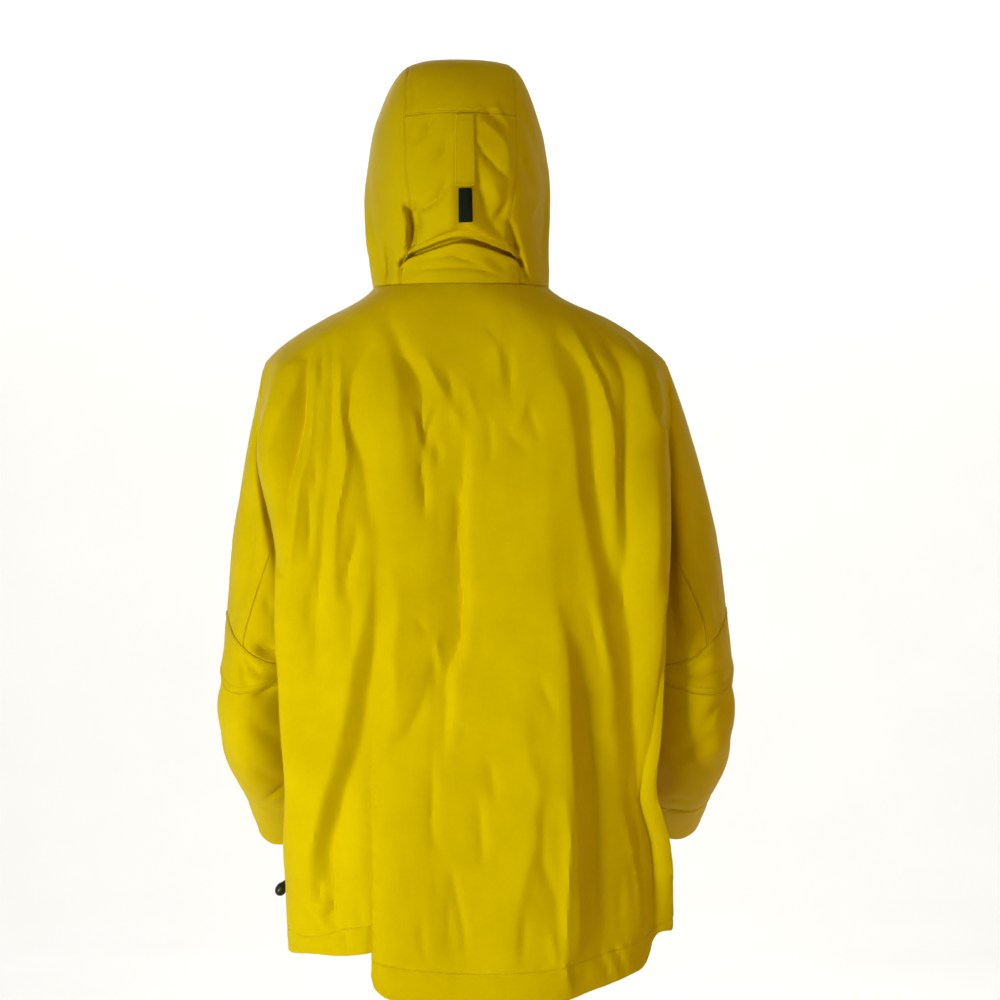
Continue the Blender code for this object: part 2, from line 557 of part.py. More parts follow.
def hood_panel(body, hood, name, body_places, rows, finish):
    place = np.interp(np.abs(body_places), HOOD_PLACES, range(5)) * np.sign(body_places)
    place = np.broadcast_to(place[None, :], (len(rows), len(place)))
    level = np.broadcast_to(rows[:, None], place.shape)
    points, out = hood.point(place, level), hood.normal(place, level)
    if rows[0] == 0:
        points[0] = body.point(body_places, NECK_DROP)
        out[0] = mitre(out[0], body.normal(body_places, NECK_DROP))
    cloth(name, points, out, finish)


def hood_pieces(body, hood, finish):
    middle = np.arange(-1.5, 1.51, COLUMN_STEP)
    hood_panel(body, hood, "hood_back", middle, hood_rows(0, CROWN_SEAM_ROW), finish)
    hood_panel(body, hood, "hood_crown", middle, hood_rows(CROWN_SEAM_ROW, HOOD_LAST_ROW), finish)
    edge = FRONT - FRONT_EDGE / float(front_breadth(body, NECK_DROP))
    rows = hood_rows(0, HOOD_LAST_ROW)
    for side, name in ((1, "left"), (-1, "right")):
        start = SIDE + (edge - SIDE) * (FRONT_COLUMNS - SIDE) / (FRONT - SIDE)
        places = np.concatenate([np.arange(1.5, SIDE, COLUMN_STEP), start]) * side
        hood_panel(body, hood, "hood_side_" + name, np.sort(places), rows, finish)


def hood_strip(hood, name, width, top_row, end_row, thickness, finish, flare=0.0):
    """A flat strip on the back of the hood, standing just clear of it."""
    rows = np.linspace(top_row, end_row, 7)
    across = np.linspace(-0.5, 0.5, 3)
    per_place = np.linalg.norm(hood.point(0.1, rows) - hood.point(-0.1, rows), axis=-1) / 0.2
    breadth = width + flare * (top_row - rows)
    place = (across[None, :] * breadth[:, None] + TAB_ASIDE) / per_place[:, None]
    level = np.broadcast_to(rows[:, None], place.shape)
    points, out = hood.point(place, level), hood.normal(place, level)
    cloth(name, points, out, finish, thickness=thickness, sink=-(thickness + TAB_STAND))


# ---------------------------------------------------------------- the sleeves
def column_angle(column, row):
    """Angle round the arm of a mesh column; the rear seam's columns swing outwards lower down."""
    angle = np.asarray(column, float) * 180 / ARMHOLE_STEPS
    swing = np.clip(np.asarray(row, float) / SWING_ROWS, 0, 1)
    swing = swing * swing * (3 - 2 * swing)
    rear, front = SLEEVE_SEAMS
    rear_there = rear + (REAR_SEAM_AT_ELBOW - rear) * swing
    swung = np.where(angle <= rear, angle * rear_there / rear,
                     rear_there + (angle - rear) * (front - rear_there) / (front - rear))
    return np.where(angle <= front, swung, angle)


def seam_level(table, angle):
    """Row of a seam that runs round the sleeve."""
    ring = [(a - 360, r) for a, r in table[-2:]] + table + [(a + 360, r) for a, r in table[:2]]
    return smooth(ring, np.mod(angle, 360))


def sleeve_panel(sleeve, name, columns, top, end, steps, finish, body_edge=None, tube=False):
    """Part of a sleeve between two levels, each a row for every column."""
    share = np.linspace(0, 1, steps + 1)[:, None]
    row = top[None, :] + (end - top)[None, :] * share
    angle = column_angle(columns[None, :], row)
    place = angle * RING_POINTS / 360
    points, out = sleeve.point(place, row), sleeve.normal(place, row)
    if body_edge is not None:
        points[0], out[0] = body_edge[0], mitre(out[0], body_edge[1])
    cloth(name, points, out, finish, tube=tube)


def sleeve_pieces(body, sleeve, side, finish):
    hand = "left" if side > 0 else "right"
    per_degree = ARMHOLE_STEPS / 180
    rear, front = (int(round(a * per_degree)) for a in SLEEVE_SEAMS)
    round_arm = 2 * ARMHOLE_STEPS
    ring = np.arange(round_arm)

    def level(table, columns):
        return seam_level(table, column_angle(columns, ELBOW_ROW))

    for name, columns in (("upper", np.arange(front - round_arm, rear + 1)),
                          ("under", np.arange(rear, front + 1))):
        wrapped = np.where(columns < 0, columns + round_arm, columns)
        edge_place, edge_drop = armhole_point(wrapped * 180 / ARMHOLE_STEPS, side)
        edge = on_body(body, edge_place, edge_drop)
        ends = level(ELBOW_TOP, wrapped)
        sleeve_panel(sleeve, "sleeve_%s_%s" % (name, hand), wrapped, ends * 0, ends, 5, finish, edge)
    top, end = level(ELBOW_TOP, ring), level(ELBOW_END, ring)
    sleeve_panel(sleeve, "sleeve_elbow_" + hand, ring, top, end, 2, finish, tube=True)
    sleeve_panel(sleeve, "sleeve_forearm_" + hand, ring, end, end * 0 + CUFF_ROW, 4, finish, tube=True)
    sleeve_panel(sleeve, "sleeve_cuff_" + hand, ring, end * 0 + CUFF_ROW, end * 0 + SLEEVE_END_ROW,
                 2, finish, tube=True)


# ---------------------------------------------------------------- the zip
def zip_strip(body, name, inner, outer, sink, thickness, finish):
    """A straight strip down the front between two distances from its middle, left positive."""
    drop = np.linspace(NECK_DROP + 2, FRONT_HEM[-1][1] - 2, ZIP_ROWS + 1)
    share = np.linspace(0, 1, 2)[None, :]
    offset = inner + (outer - inner) * share
    place = FRONT - offset / front_breadth(body, drop)[:, None]
    level = np.broadcast_to(drop[:, None], place.shape)
    points, out = body.point(place, level), body.normal(place, level)
    cloth(name, points, out, finish, thickness=thickness, sink=sink)


class Spot:
    """A place on the front with its own directions: across, down and out."""

    def __init__(self, body, place, drop):
        self.centre = body.point(place, drop)
        self.out = body.normal(place, drop)
        down = body.point(place, drop + 1) - body.point(place, drop - 1)
        self.down = down / np.linalg.norm(down)
        self.across = np.cross(self.out, self.down)

    def at(self, across, down, out):
        return self.centre + self.across * across + self.down * down + self.out * out


def slab(name, spot, across, down, out, finish, hole=None):
    """A flat plate of cells between lists of edges; hole names the cell that is left open."""
    cells = [(i, j) for i in range(len(across) - 1) for j in range(len(down) - 1) if (i, j) != hole]
    points = [spot.at(a, d, o) for o in out for a in across for d in down]
    number = {(i, j, k): (k * len(across) + i) * len(down) + j
              for k in range(2) for i in range(len(across)) for j in range(len(down))}
    faces = []
    for i, j in cells:
        corners = [(i, j), (i + 1, j), (i + 1, j + 1), (i, j + 1)]
        for k in range(2):
            faces.append([number[a, b, k] for a, b in corners])
        for (a, b), (c, d), beside in zip(corners, corners[1:] + corners[:1],
                                          [(i, j - 1), (i + 1, j), (i, j + 1), (i - 1, j)]):
            if beside not in cells:
                faces.append([number[a, b, 0], number[c, d, 0], number[c, d, 1], number[a, b, 1]])
    return solid(name, points, faces, finish)


def joined(first, second):
    """Union of two closed meshes, kept in the first."""
    union = first.modifiers.new("joined", "BOOLEAN")
    union.operation = "UNION"
    union.object = second
    second.hide_render = True
    second.display_type = "WIRE"


def put_origin(made, point):
    """Move an object's origin, so that a piece that swings has it on its axis."""
    shift = [float(c) * MM for c in point]
    for corner in made.data.vertices:
        corner.co = [c - s for c, s in zip(corner.co, shift)]
    made.location = shift


def zip_pieces(body, tape, metal):
    """The closed zip; the tab hangs from the slider's loop and swings about its own origin."""
    zip_strip(body, "zip_tape_left", TAPE_INNER, TAPE_OUTER, HEM_CLOTH + SEAM_GAP, TAPE_CLOTH, tape)
    zip_strip(body, "zip_tape_right", -TAPE_OUTER, -TAPE_INNER, HEM_CLOTH + SEAM_GAP, TAPE_CLOTH, tape)
    zip_strip(body, "zip_coil", -COIL_HALF, COIL_HALF, COIL_SINK, COIL_THICK, tape)
    spot = Spot(body, FRONT, SLIDER_DROP)
    width, length = SLIDER_BODY
    half, end = width / 2, length / 2
    slider = slab("zip_slider", spot, [-half, half], [-end, end], [SLIDER_UNDER, SLIDER_OVER], metal)
    axis = SLIDER_OVER + BRIDGE_INNER
    edge = BRIDGE_WIDTH / 2
    sunk = SLIDER_OVER - BRIDGE_SUNK
    turn = np.linspace(0, math.pi, 7)
    outer = [(-BRIDGE_OUTER * math.cos(t), axis + BRIDGE_OUTER * math.sin(t)) for t in turn]
    inner = [(BRIDGE_INNER * math.cos(t), axis + BRIDGE_INNER * math.sin(t)) for t in turn]
    outline = [(-BRIDGE_OUTER, sunk)] + outer + [(BRIDGE_OUTER, sunk), (BRIDGE_INNER, sunk)] + inner
    outline.append((-BRIDGE_INNER, sunk))
    points = [spot.at(a, d, o) for a in (-edge, edge) for d, o in outline]
    count = len(outline)
    faces = [list(range(count)), list(range(2 * count - 1, count - 1, -1))]
    faces += [[i, (i + 1) % count, count + (i + 1) % count, count + i] for i in range(count)]
    joined(slider, solid("slider_bridge_guide", points, faces, metal))
    hole_half, hole_start, hole_end = PULL_HOLE
    edge = PULL_WIDTH / 2
    tab = slab("zip_pull", spot, [-edge, -hole_half, hole_half, edge],
               [-hole_start, hole_start, hole_end, PULL_LENGTH],
               [axis - PULL_THICK / 2, axis + PULL_THICK / 2], metal, hole=(1, 1))
    put_origin(tab, spot.at(0, 0, axis))


def hem_toggle(body, finish):
    """A turned plastic end on the hem's drawcord, pulled up tight to where the cord comes out."""
    lean = math.radians(TOGGLE_LEAN)
    out = body.normal(TOGGLE_PLACE, TOGGLE_DROP)
    away = np.array([out[0], out[1], 0]) / math.hypot(out[0], out[1])
    axis = away * math.sin(lean) + np.array([0, 0, -math.cos(lean)])
    side = np.cross(axis, [0, 1, 0])
    side = side / np.linalg.norm(side)
    other = np.cross(axis, side)
    tip = body.point(TOGGLE_PLACE, TOGGLE_DROP) + out * (SEAM_GAP + TOGGLE_TURNED[0][1])
    points, faces = [], []
    for along, radius in TOGGLE_TURNED:
        for k in range(TOGGLE_SIDES):
            turn = 2 * math.pi * k / TOGGLE_SIDES
            points.append(tip + axis * along + (side * math.cos(turn) + other * math.sin(turn)) * radius)
    for i in range(len(TOGGLE_TURNED) - 1):
        for k in range(TOGGLE_SIDES):
            a, b = i * TOGGLE_SIDES + k, i * TOGGLE_SIDES + (k + 1) % TOGGLE_SIDES
            faces.append((a, b, b + TOGGLE_SIDES, a + TOGGLE_SIDES))
    faces.append(list(range(TOGGLE_SIDES)))
    faces.append(list(range(len(points) - 1, len(points) - TOGGLE_SIDES - 1, -1)))
    solid("hem_toggle", points, faces, finish)


def main():
    for old in list(bpy.data.objects):
        bpy.data.objects.remove(old, do_unlink=True)
    shell = material("coated_shell", COATED_YELLOW)
    hem = material("turned_hem", SHADED_YELLOW)
    hook = material("hook_and_loop", BLACK_TAPE)
    plastic = material("moulded_plastic", BLACK_PLASTIC)
    metal = material("zinc_alloy", GREY_METAL, metallic=0.8)
    body = body_form()
    hood = hood_form(body)
    sleeves = {side: sleeve_form(body, side) for side in (1, -1)}
    back_panel(body, hood, sleeves, shell)
    for side in (1, -1):
        front_panel(body, hood, sleeves, side, shell)
        sleeve_pieces(body, sleeves[side], side, shell)
    hem_bands(body, hem)
    hood_pieces(body, hood, shell)
    hood_strip(hood, "hood_tab", TAB_WIDTH, TAB_TOP_ROW, TAB_END_ROW, TAB_CLOTH, hem, TAB_FLARE)
    hood_strip(hood, "hood_hook_strip", STRIP_WIDTH, STRIP_TOP_ROW, STRIP_END_ROW, STRIP_CLOTH, hook)
    zip_pieces(body, hook, metal)
    hem_toggle(body, plastic)


main()
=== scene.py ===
"""The looks of a waterproof winter jacket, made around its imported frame.

Tables are in millimetres and are turned to metres when a mesh is made.  The cloth lies on the
same four forms as the frame's solids (the body, the hood and two sleeves), read much more
finely, with its folds, seams, stitches and turned edges on it.
"""
import math

import bmesh
import bpy
import numpy as np
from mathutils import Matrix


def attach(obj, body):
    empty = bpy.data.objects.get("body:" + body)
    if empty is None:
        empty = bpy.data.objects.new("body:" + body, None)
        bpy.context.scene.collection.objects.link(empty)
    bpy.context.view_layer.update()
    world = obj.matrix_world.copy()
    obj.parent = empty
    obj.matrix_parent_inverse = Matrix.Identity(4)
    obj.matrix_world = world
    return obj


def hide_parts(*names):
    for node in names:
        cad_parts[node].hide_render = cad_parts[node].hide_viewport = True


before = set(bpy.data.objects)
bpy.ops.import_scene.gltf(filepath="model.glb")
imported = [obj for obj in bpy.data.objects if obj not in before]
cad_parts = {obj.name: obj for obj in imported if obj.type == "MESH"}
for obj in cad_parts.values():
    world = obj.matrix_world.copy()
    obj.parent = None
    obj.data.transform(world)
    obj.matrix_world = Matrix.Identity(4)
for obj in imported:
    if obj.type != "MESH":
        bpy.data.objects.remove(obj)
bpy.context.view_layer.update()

MM = 0.001  # tables are in millimetres, meshes in metres
JACKET, PULL_BODY = "jacket", "zip_pull"  # the two bodies of the frame

HEM_CLOTH = 2.8  # thickness of the solids where the hem is turned up on itself, mm
SEAM_GAP = 0.3  # clear gap that the solids leave between two pieces sewn together, mm
SIDES = ((1, "left"), (-1, "right"))  # the wearer's left is at positive x

# ------------ the body's form
# One row for each level.  back_z and front_z are the level at the back and at the front; the
# others are half widths and depths of the named points around the body, in order from the
# middle of the back: blade, wing (the outer back edge), side, corner and front.  Widths are
# given for the wearer's left, then the right where it differs; shift moves the row to the left.
BODY_COLUMNS = ("back_z", "front_z", "shift", "back_y", "blade_x", "blade_y", "wing_left",
                "wing_right", "wing_y", "side_left", "side_right", "side_y", "corner_x",
                "corner_y", "front_y")
BODY_ROWS = [
    (-6, -72, 7.5, 84, 48, 73, 82, 82, 46, 98, 98, 4, 66, -66, -94),
    (-20, -80, 7.5, 93, 60, 86, 100, 103, 54, 111, 115, 4, 82, -74, -100),
    (-42, -92, 4.5, 103, 78, 99, 133, 136, 64, 157, 162, 4, 102, -82, -106),
    (-64, -104, 3, 111, 94, 107, 160, 160, 74, 194, 196, 4, 118, -88, -112),
    (-88, -118, 2.5, 117, 105, 114, 179, 180, 86, 222, 223, 4, 132, -94, -117),
    (-135, -152, 0, 126, 112, 124, 196, 198, 97, 239, 236, 4, 142, -102, -126),
    (-200, -206, 0, 131, 114, 128, 202, 205, 101, 234, 230, 4, 144, -109, -134),
    (-270, -272, 0, 131, 114, 127, 204, 213, 103, 209, 214, 8, 140, -113, -138),
    (-340, -340, 0, 129, 113, 124, 208, 217, 99, 164, 170, 18, 136, -115, -140),
    (-378, -378, 0, 128, 112, 123, 209, 217, 95, 159, 163, 26, 134, -115, -141),
    (-430, -430, 0, 128, 112, 122, 207, 216, 88, 159, 161, 30, 133, -116, -143),
    (-500, -500, 0, 129, 111, 122, 203, 212, 86, 157, 160, 30, 133, -118, -146),
    (-560, -560, 0, 131, 110, 124, 199, 208, 82, 160, 164, 26, 134, -121, -149),
    (-620, -620, 0, 134, 110, 127, 202, 223, 74, 171, 184, 18, 137, -124, -152),
    (-690, -690, 0, 138, 112, 131, 203, 226, 66, 186, 206, 8, 143, -127, -155),
    (-760, -760, 0, 142, 114, 135, 199, 224, 60, 194, 212, 4, 147, -129, -157),
    (-830, -830, 0, 145, 115, 138, 198, 223, 58, 195, 212, 4, 149, -130, -158),
]
# Places around the body count from the middle of the back: blade 1, wing 2, side 3, corner 4 and
# front 5; the wearer's left is positive and the right is negative.
SIDE, FRONT = 3, 5
NECK_DROP = 6.0
SHOULDER_DROP = 88.0
UNDERARM_DROP = 340.0
ARMHOLE_MIDDLE = (SHOULDER_DROP + UNDERARM_DROP) / 2
ARMHOLE_HALF = (UNDERARM_DROP - SHOULDER_DROP) / 2
ARMHOLE_BACK = 0.62  # how far the armhole reaches into the back, in places around the body
ARMHOLE_FRONT = 0.66
ARMHOLE_SQUARE = 2.3  # 2 is a plain oval; more is squarer
ARMHOLE_RIM = 330  # about the length of half its rim, mm
ARMHOLE_STEPS = 8  # lengthways lines of the sleeve in half a turn
STILL_PLACES = 1.5  # the mesh's columns beyond this draw in beside the armhole
SIDE_BREADTH = 80  # about how many millimetres one place spans at the side seam
VENT_BREADTH = 112  # and at the vent
VENT_PLACE = 0.9  # the vent, where the long tail ends, on the left of the back
VENT_SLIT = 0.006
VENT_TUCK = 0.13  # the side's hem runs on under the tail by this share of a place

# The hem, as depths below the neck at places around the body, and the top of its turned-up band.
TAIL_HEM = [(-3, 715), (-2.3, 715), (-2.05, 716), (-1.9, 719), (-1.82, 728), (-1.75, 740),
            (-1.68, 750), (-1.5, 759), (-1.35, 765), (-1.15, 772), (-1, 778), (-0.7, 784),
            (0, 787), (0.5, 783), (0.7, 778), (0.8, 772), (0.87, 762), (0.9, 750)]
TAIL_BAND = [(-3, 700), (-2.25, 701), (-2, 704), (-1.75, 717), (-1.2, 735), (-0.95, 743),
             (-0.55, 748), (0, 749.5), (0.35, 747), (0.65, 743), (0.9, 737)]
SIDE_HEM = [(0.9, 729), (1.2, 734), (1.5, 735), (1.9, 738), (2.1, 736), (3, 735)]
SIDE_BAND = [(0.9, 700), (1.2, 705), (1.5, 716), (1.8, 713), (2.1, 709), (3, 708)]
FRONT_HEM = [(3, 735), (4, 738), (5, 740)]
FRONT_BAND = [(3, 708), (4, 711), (5, 713)]
FRONT_HEM_RIGHT = [(3, 715), (4, 730), (5, 740)]
FRONT_BAND_RIGHT = [(3, 700), (4, 707), (5, 713)]

# ------------ the hood's form
# Five lines run from the neck seam up and over to the edge round the face; each has a point
# (half width, y, z) for each of the twelve rows.  The first row lies on the body's neck.
HOOD_LINES = {
    "centre": [(0, 84, -6), (0, 86, 12), (0, 93, 35), (0, 107, 29), (0, 121, 62), (0, 126, 110),
               (0, 122, 155), (0, 104, 200), (0, 66, 234), (0, 10, 249), (0, -52, 250),
               (0, -112, 238)],
    "seam": [(71, 58, -6), (64, 66, 14), (56, 76, 33), (51, 86, 42), (54, 96, 68), (60, 102, 110),
             (61, 98, 155), (61, 84, 196), (59, 52, 227), (56, 6, 242), (55, -54, 243),
             (54, -110, 232)],
    "side": [(98, 4, -6), (99, 10, 14), (99, 12, 30), (99.5, 14, 46), (100, 16, 70), (100, 18, 104),
             (98, 16, 140), (93, 8, 172), (83, -12, 202), (73, -44, 219), (70, -80, 224),
             (65, -108, 224)],
    "cheek": [(66, -66, -42), (76, -64, -22), (84, -62, -2), (90, -61, 20), (94, -60, 48), (96, -60, 84),
              (95, -60, 120), (91, -64, 152), (85, -74, 180), (79, -88, 200),
              (73, -100, 211), (69, -109, 216)],
    "face": [(5, -94, -72), (18, -103, -48), (34, -108, -22), (48, -111, 4), (60, -114, 34), (70, -116, 68),
             (77, -117, 102), (80, -117, 134), (80, -116, 160), (78, -114, 182),
             (74, -112, 198), (72, -110, 208)],
}
NECK_SHIFT = 7.5  # the neck sits this far to the left of the body's middle
# How far each line lies to the left, above the nape and at the top: the head leans and turns.
HOOD_SHIFT = {"centre": (5, 11), "seam": (5, 11), "side": (11.5, 11), "cheek": (9, 11), "face": (8, 10)}
HOOD_SHIFT_ROWS = 3  # rows over which the lean comes in
HOOD_LAST_ROW = 11
HOOD_FACE = 4  # places across the hood count from its centre, 0, to its face
HOOD_PLACES = [0, 1.5, 3, 4, 5]  # the body's places below the hood's five lines
CROWN_SEAM_ROW = 6.45  # the seam between the crown and the back of the hood

# The adjuster: a tab of the shell cloth over a strip of black hook-and-loop.
TAB_WIDTH, TAB_TOP_ROW, TAB_END_ROW, TAB_CLOTH = 20.0, 6.40, 4.69, 2.2
STRIP_WIDTH, STRIP_TOP_ROW, STRIP_END_ROW, STRIP_CLOTH = 14.0, 4.65, 3.87, 1.6
TAB_FLARE = 1.2  # the tab widens by this much for each row down
TAB_ASIDE = -4.6  # both lie this far to the right of the hood's middle
TAB_STAND = 0.3  # gap between the hood and what is sewn on it
TAB_STEP, STRIP_STEP = 2.2, 1.6  # the mesh's lines are this far apart, mm
TAB_CRUMPLE = 0.25
# The tab's rows of stitches: an edge, and how far in from it they run, mm.
TAB_STITCHES = [("left", 2.0), ("right", 2.0), ("top", 2.0), ("top", 9.0), ("bottom", 2.0), ("bottom", 3.6)]

# ------------ the sleeves' form
# Rings below the armhole: centre, half breadth across and fore-and-aft, how far the arm is bent
# forward there (bend) and how far the ring's outer edge is lifted (lift), in degrees.
RING_COLUMNS = ("x", "y", "z", "across", "along", "bend", "lift")
SLEEVE_RINGS = {
    "left": [
        (218, -10, -290, 68, 65, 0, 57),
        (222, -12, -364, 45, 67, 4, 8),
        (226, -8, -412, 48, 67, 10, 3),
        (231, -2, -458, 50, 62, 28, 0),
        (230, -24, -502, 49, 57, 42, 0),
        (226, -54, -534, 46, 50, 52, 0),
        (218, -86, -560, 42, 43, 55, -4),
        (213, -121, -583, 42, 42, 55, -8),
        (207, -154, -609, 42, 42, 55, -14),
    ],
    "right": [
        (227, -10, -294, 72, 65, 0, 55),
        (238, -12, -364, 49, 67, 4, 10),
        (243, -8, -412, 51, 67, 10, 4),
        (248, -2, -460, 52, 62, 28, 0),
        (248, -24, -506, 50, 57, 42, 0),
        (245, -54, -540, 45, 50, 52, 0),
        (241, -86, -564, 39, 43, 55, -4),
        (236, -121, -585, 40, 41, 55, -7),
        (230, -154, -605, 40, 40, 55, -11),
    ],
}
RING_SQUARE = 2.25
RING_POINTS = 12
CUFF_ROW, SLEEVE_END_ROW = 7, 9
SLEEVE_SEAMS = (112.5, 247.5)  # rear and front seam at the armhole, degrees round the arm
REAR_SEAM_AT_ELBOW = 62  # the rear seam swings outwards on its way down
SWING_ROWS = 2.6  # rows below the armhole over which it does so
ELBOW_ROW = 2.8  # near enough the level of the seam above the elbow
SLEEVE_STEP, TUBE_COLUMNS = 4.0, 88  # the mesh's lines: mm apart, and how many round a tube
COLUMN_BREADTH = 21  # about how many millimetres one lengthways line spans
# Level of the seams above and below the elbow piece, as rows, for angles round the arm.
ELBOW_TOP = [(0, 2.12), (50, 2.55), (80, 2.86), (110, 3.0), (180, 2.85), (240, 2.5), (300, 2.2)]
ELBOW_END = [(0, 3.45), (50, 3.56), (80, 3.5), (110, 3.4), (180, 3.35), (240, 3.4), (300, 3.42)]

# ------------ zip and toggle
FRONT_EDGE = 7.0  # the fronts end this far from the middle
TAPE_INNER, TAPE_OUTER, TAPE_CLOTH = 2.4, 15.0, 0.8
TAPE_ENDS = 2.2  # the tapes start and end this far inside the fronts
COIL_SINK = 2.4  # how far behind the fronts' faces the coil's middle lies
SLIDER_DROP = 16.0  # the slider's middle, near the top of the zip
SLIDER_BODY = (9.0, 15.0)  # its width and length, mm
SLIDER_UNDER, SLIDER_OVER = -2.0, 1.4  # how far its faces stand out from the fronts
BRIDGE_WIDTH, BRIDGE_OUTER, BRIDGE_INNER = 3.2, 2.9, 1.45  # the loop that holds the tab
PULL_WIDTH, PULL_THICK, PULL_LENGTH = 7.2, 1.4, 27.0
PULL_HOLE = (2.1, 0.8, 4.5)  # half width, start and end of the hole, from the axis
TOGGLE_DROP, TOGGLE_PLACE = 661.0, 2.42
TOGGLE_LEAN = 33.0  # degrees that it leans out from straight down
# The toggle's outline: distance along it from its tip, and radius.
TOGGLE_TURNED = [(0, 1.6), (3.5, 2.1), (6.5, 3.4), (10, 6.0), (14, 6.9), (18, 6.3), (21, 4.2),
                 (22.5, 1.4)]
TOGGLE_GROOVE, GROOVE_DEPTH = 12.2, 0.35  # a turned groove round its shoulder


# ------------ smooth curves and lofts
def named(columns, row):
    return dict(zip(columns, row))


def ease(t):
    """From 0 to 1, starting and ending level."""
    return t * t * (3 - 2 * t)


def distance_along(points, axis=0):
    """How far each point of a line, or of a grid's lines along an axis, is from the first."""
    steps = np.linalg.norm(np.diff(points, axis=axis), axis=-1)
    return np.concatenate([np.zeros_like(steps.take([0], axis)), steps.cumsum(axis=axis)], axis=axis)


def slopes(knots, values):
    """Slope at each knot of a smooth curve through the values, by the three-point rule."""
    gap = np.diff(knots).reshape((-1,) + (1,) * (values.ndim - 1))
    chord = np.diff(values, axis=0) / gap
    before, after = gap[:-1], gap[1:]
    middle = (chord[:-1] * after + chord[1:] * before) / (before + after)
    return np.concatenate([2 * chord[:1] - middle[:1], middle, 2 * chord[-1:] - middle[-1:]])


def blend(t, length, start, end, start_slope, end_slope):
    """The cubic between two points with given slopes, t from 0 to 1."""
    back = 1 - t
    return ((1 + 2 * t) * back * back * start + t * back * back * length * start_slope
            + ease(t) * end - t * t * back * length * end_slope)


def smooth(table, at):
    """Read a table of (place, value) pairs along a smooth curve."""
    knots = np.array([row[0] for row in table], float)
    values = np.array([row[1] for row in table], float)
    at = np.clip(np.asarray(at, float), knots[0], knots[-1])
    k = np.clip(np.searchsorted(knots, at, side="right") - 1, 0, len(knots) - 2)
    slope = slopes(knots, values)
    length = knots[k + 1] - knots[k]
    return blend((at - knots[k]) / length, length, values[k], values[k + 1], slope[k], slope[k + 1])


class Loft:
    """A smooth surface through a grid of points: rows at the given knots, places across them."""

    def __init__(self, knots, grid, closed, first_place=0, outward=1):
        self.knots = np.array(knots, float)
        self.grid = np.array(grid, float)
        self.slope = slopes(self.knots, self.grid)
        self.closed, self.first_place, self.outward = closed, first_place, outward

    def point(self, place, row):
        place, row = np.broadcast_arrays(np.asarray(place, float), np.asarray(row, float))
        shape = place.shape
        place, row = place.ravel() - self.first_place, row.ravel()
        k = np.clip(np.searchsorted(self.knots, row, side="right") - 1, 0, len(self.knots) - 2)
        length = (self.knots[k + 1] - self.knots[k])[:, None, None]
        t = (row - self.knots[k])[:, None, None] / length
        across = blend(t, length, self.grid[k], self.grid[k + 1], self.slope[k], self.slope[k + 1])
        count = across.shape[1]
        each = np.arange(len(place))
        if self.closed:
            j = np.floor(place).astype(int)
            p0, p1, p2, p3 = (across[each, (j + step) % count] for step in (-1, 0, 1, 2))
        else:
            j = np.clip(np.floor(place).astype(int), 0, count - 2)
            p1, p2 = across[each, j], across[each, j + 1]
            before, beyond = across[each, np.maximum(j - 1, 0)], across[each, np.minimum(j + 2, count - 1)]
            p0 = np.where((j > 0)[:, None], before, 2 * p1 - p2)
            p3 = np.where((j < count - 2)[:, None], beyond, 2 * p2 - p1)
        d0, d1, d2 = (np.linalg.norm(b - a, axis=1)[:, None] + 1e-6
                      for a, b in ((p0, p1), (p1, p2), (p2, p3)))
        leave = ((p1 - p0) / d0 * d1 + (p2 - p1) / d1 * d0) / (d0 + d1)
        arrive = ((p2 - p1) / d1 * d2 + (p3 - p2) / d2 * d1) / (d1 + d2)
        found = blend((place - j)[:, None], d1, p1, p2, leave, arrive)
        return found.reshape(shape + (3,))

    def normal(self, place, row, step=0.02):
        row_step = step * (self.knots[-1] - self.knots[0]) / len(self.knots)
        row = np.clip(row, self.knots[0] + row_step, self.knots[-1] - row_step)
        along = self.point(place, row + row_step) - self.point(place, row - row_step)
        around = self.point(place + step, row) - self.point(place - step, row)
        across = np.cross(around, along) * self.outward
        return across / np.linalg.norm(across, axis=-1, keepdims=True)


def body_form():
    grid, drops = [], []
    for values in BODY_ROWS:
        r = named(BODY_COLUMNS, values)
        back_z, front_z = r["back_z"], r["front_z"]
        left, right = ([(side * r["blade_x"], r["blade_y"], back_z),
                        (side * r["wing_" + hand], r["wing_y"], back_z),
                        (side * r["side_" + hand], r["side_y"], back_z),
                        (side * r["corner_x"], r["corner_y"], (back_z + front_z) / 2)]
                       for side, hand in SIDES)
        ring = [(0, r["back_y"], back_z)] + left + [(0, r["front_y"], front_z)] + right[::-1]
        grid.append([(x + r["shift"], y, z) for x, y, z in ring])
        drops.append(-back_z)
    return Loft(drops, grid, closed=True)


def hood_form(body):
    neck = body.point(np.array(HOOD_PLACES), NECK_DROP)
    grid = []
    for row in range(HOOD_LAST_ROW + 1):
        lean = min(row / HOOD_SHIFT_ROWS, 1.0)
        right, left = [], []
        for line, (name, points) in enumerate(HOOD_LINES.items()):
            x, y, z = points[row]
            nape_shift, top_shift = HOOD_SHIFT[name]
            shift = nape_shift + (top_shift - nape_shift) * (row / HOOD_LAST_ROW) ** 2
            shift = NECK_SHIFT + (shift - NECK_SHIFT) * lean
            if row == 0:
                x, y, z = neck[line] - (NECK_SHIFT, 0, 0)
            left.append((shift + x, y, z))
            right.append((shift - x, y, z))
        grid.append(right[:0:-1] + left)
    return Loft(range(HOOD_LAST_ROW + 1), grid, closed=False, first_place=-HOOD_FACE, outward=-1)


def armhole_place(drop, reach):
    """How far the armhole's edge is from the side line at a depth below the neck."""
    level = np.clip(np.abs((np.asarray(drop, float) - ARMHOLE_MIDDLE) / ARMHOLE_HALF), 0, 1)
    return reach * (1 - level ** ARMHOLE_SQUARE) ** (1 / ARMHOLE_SQUARE)


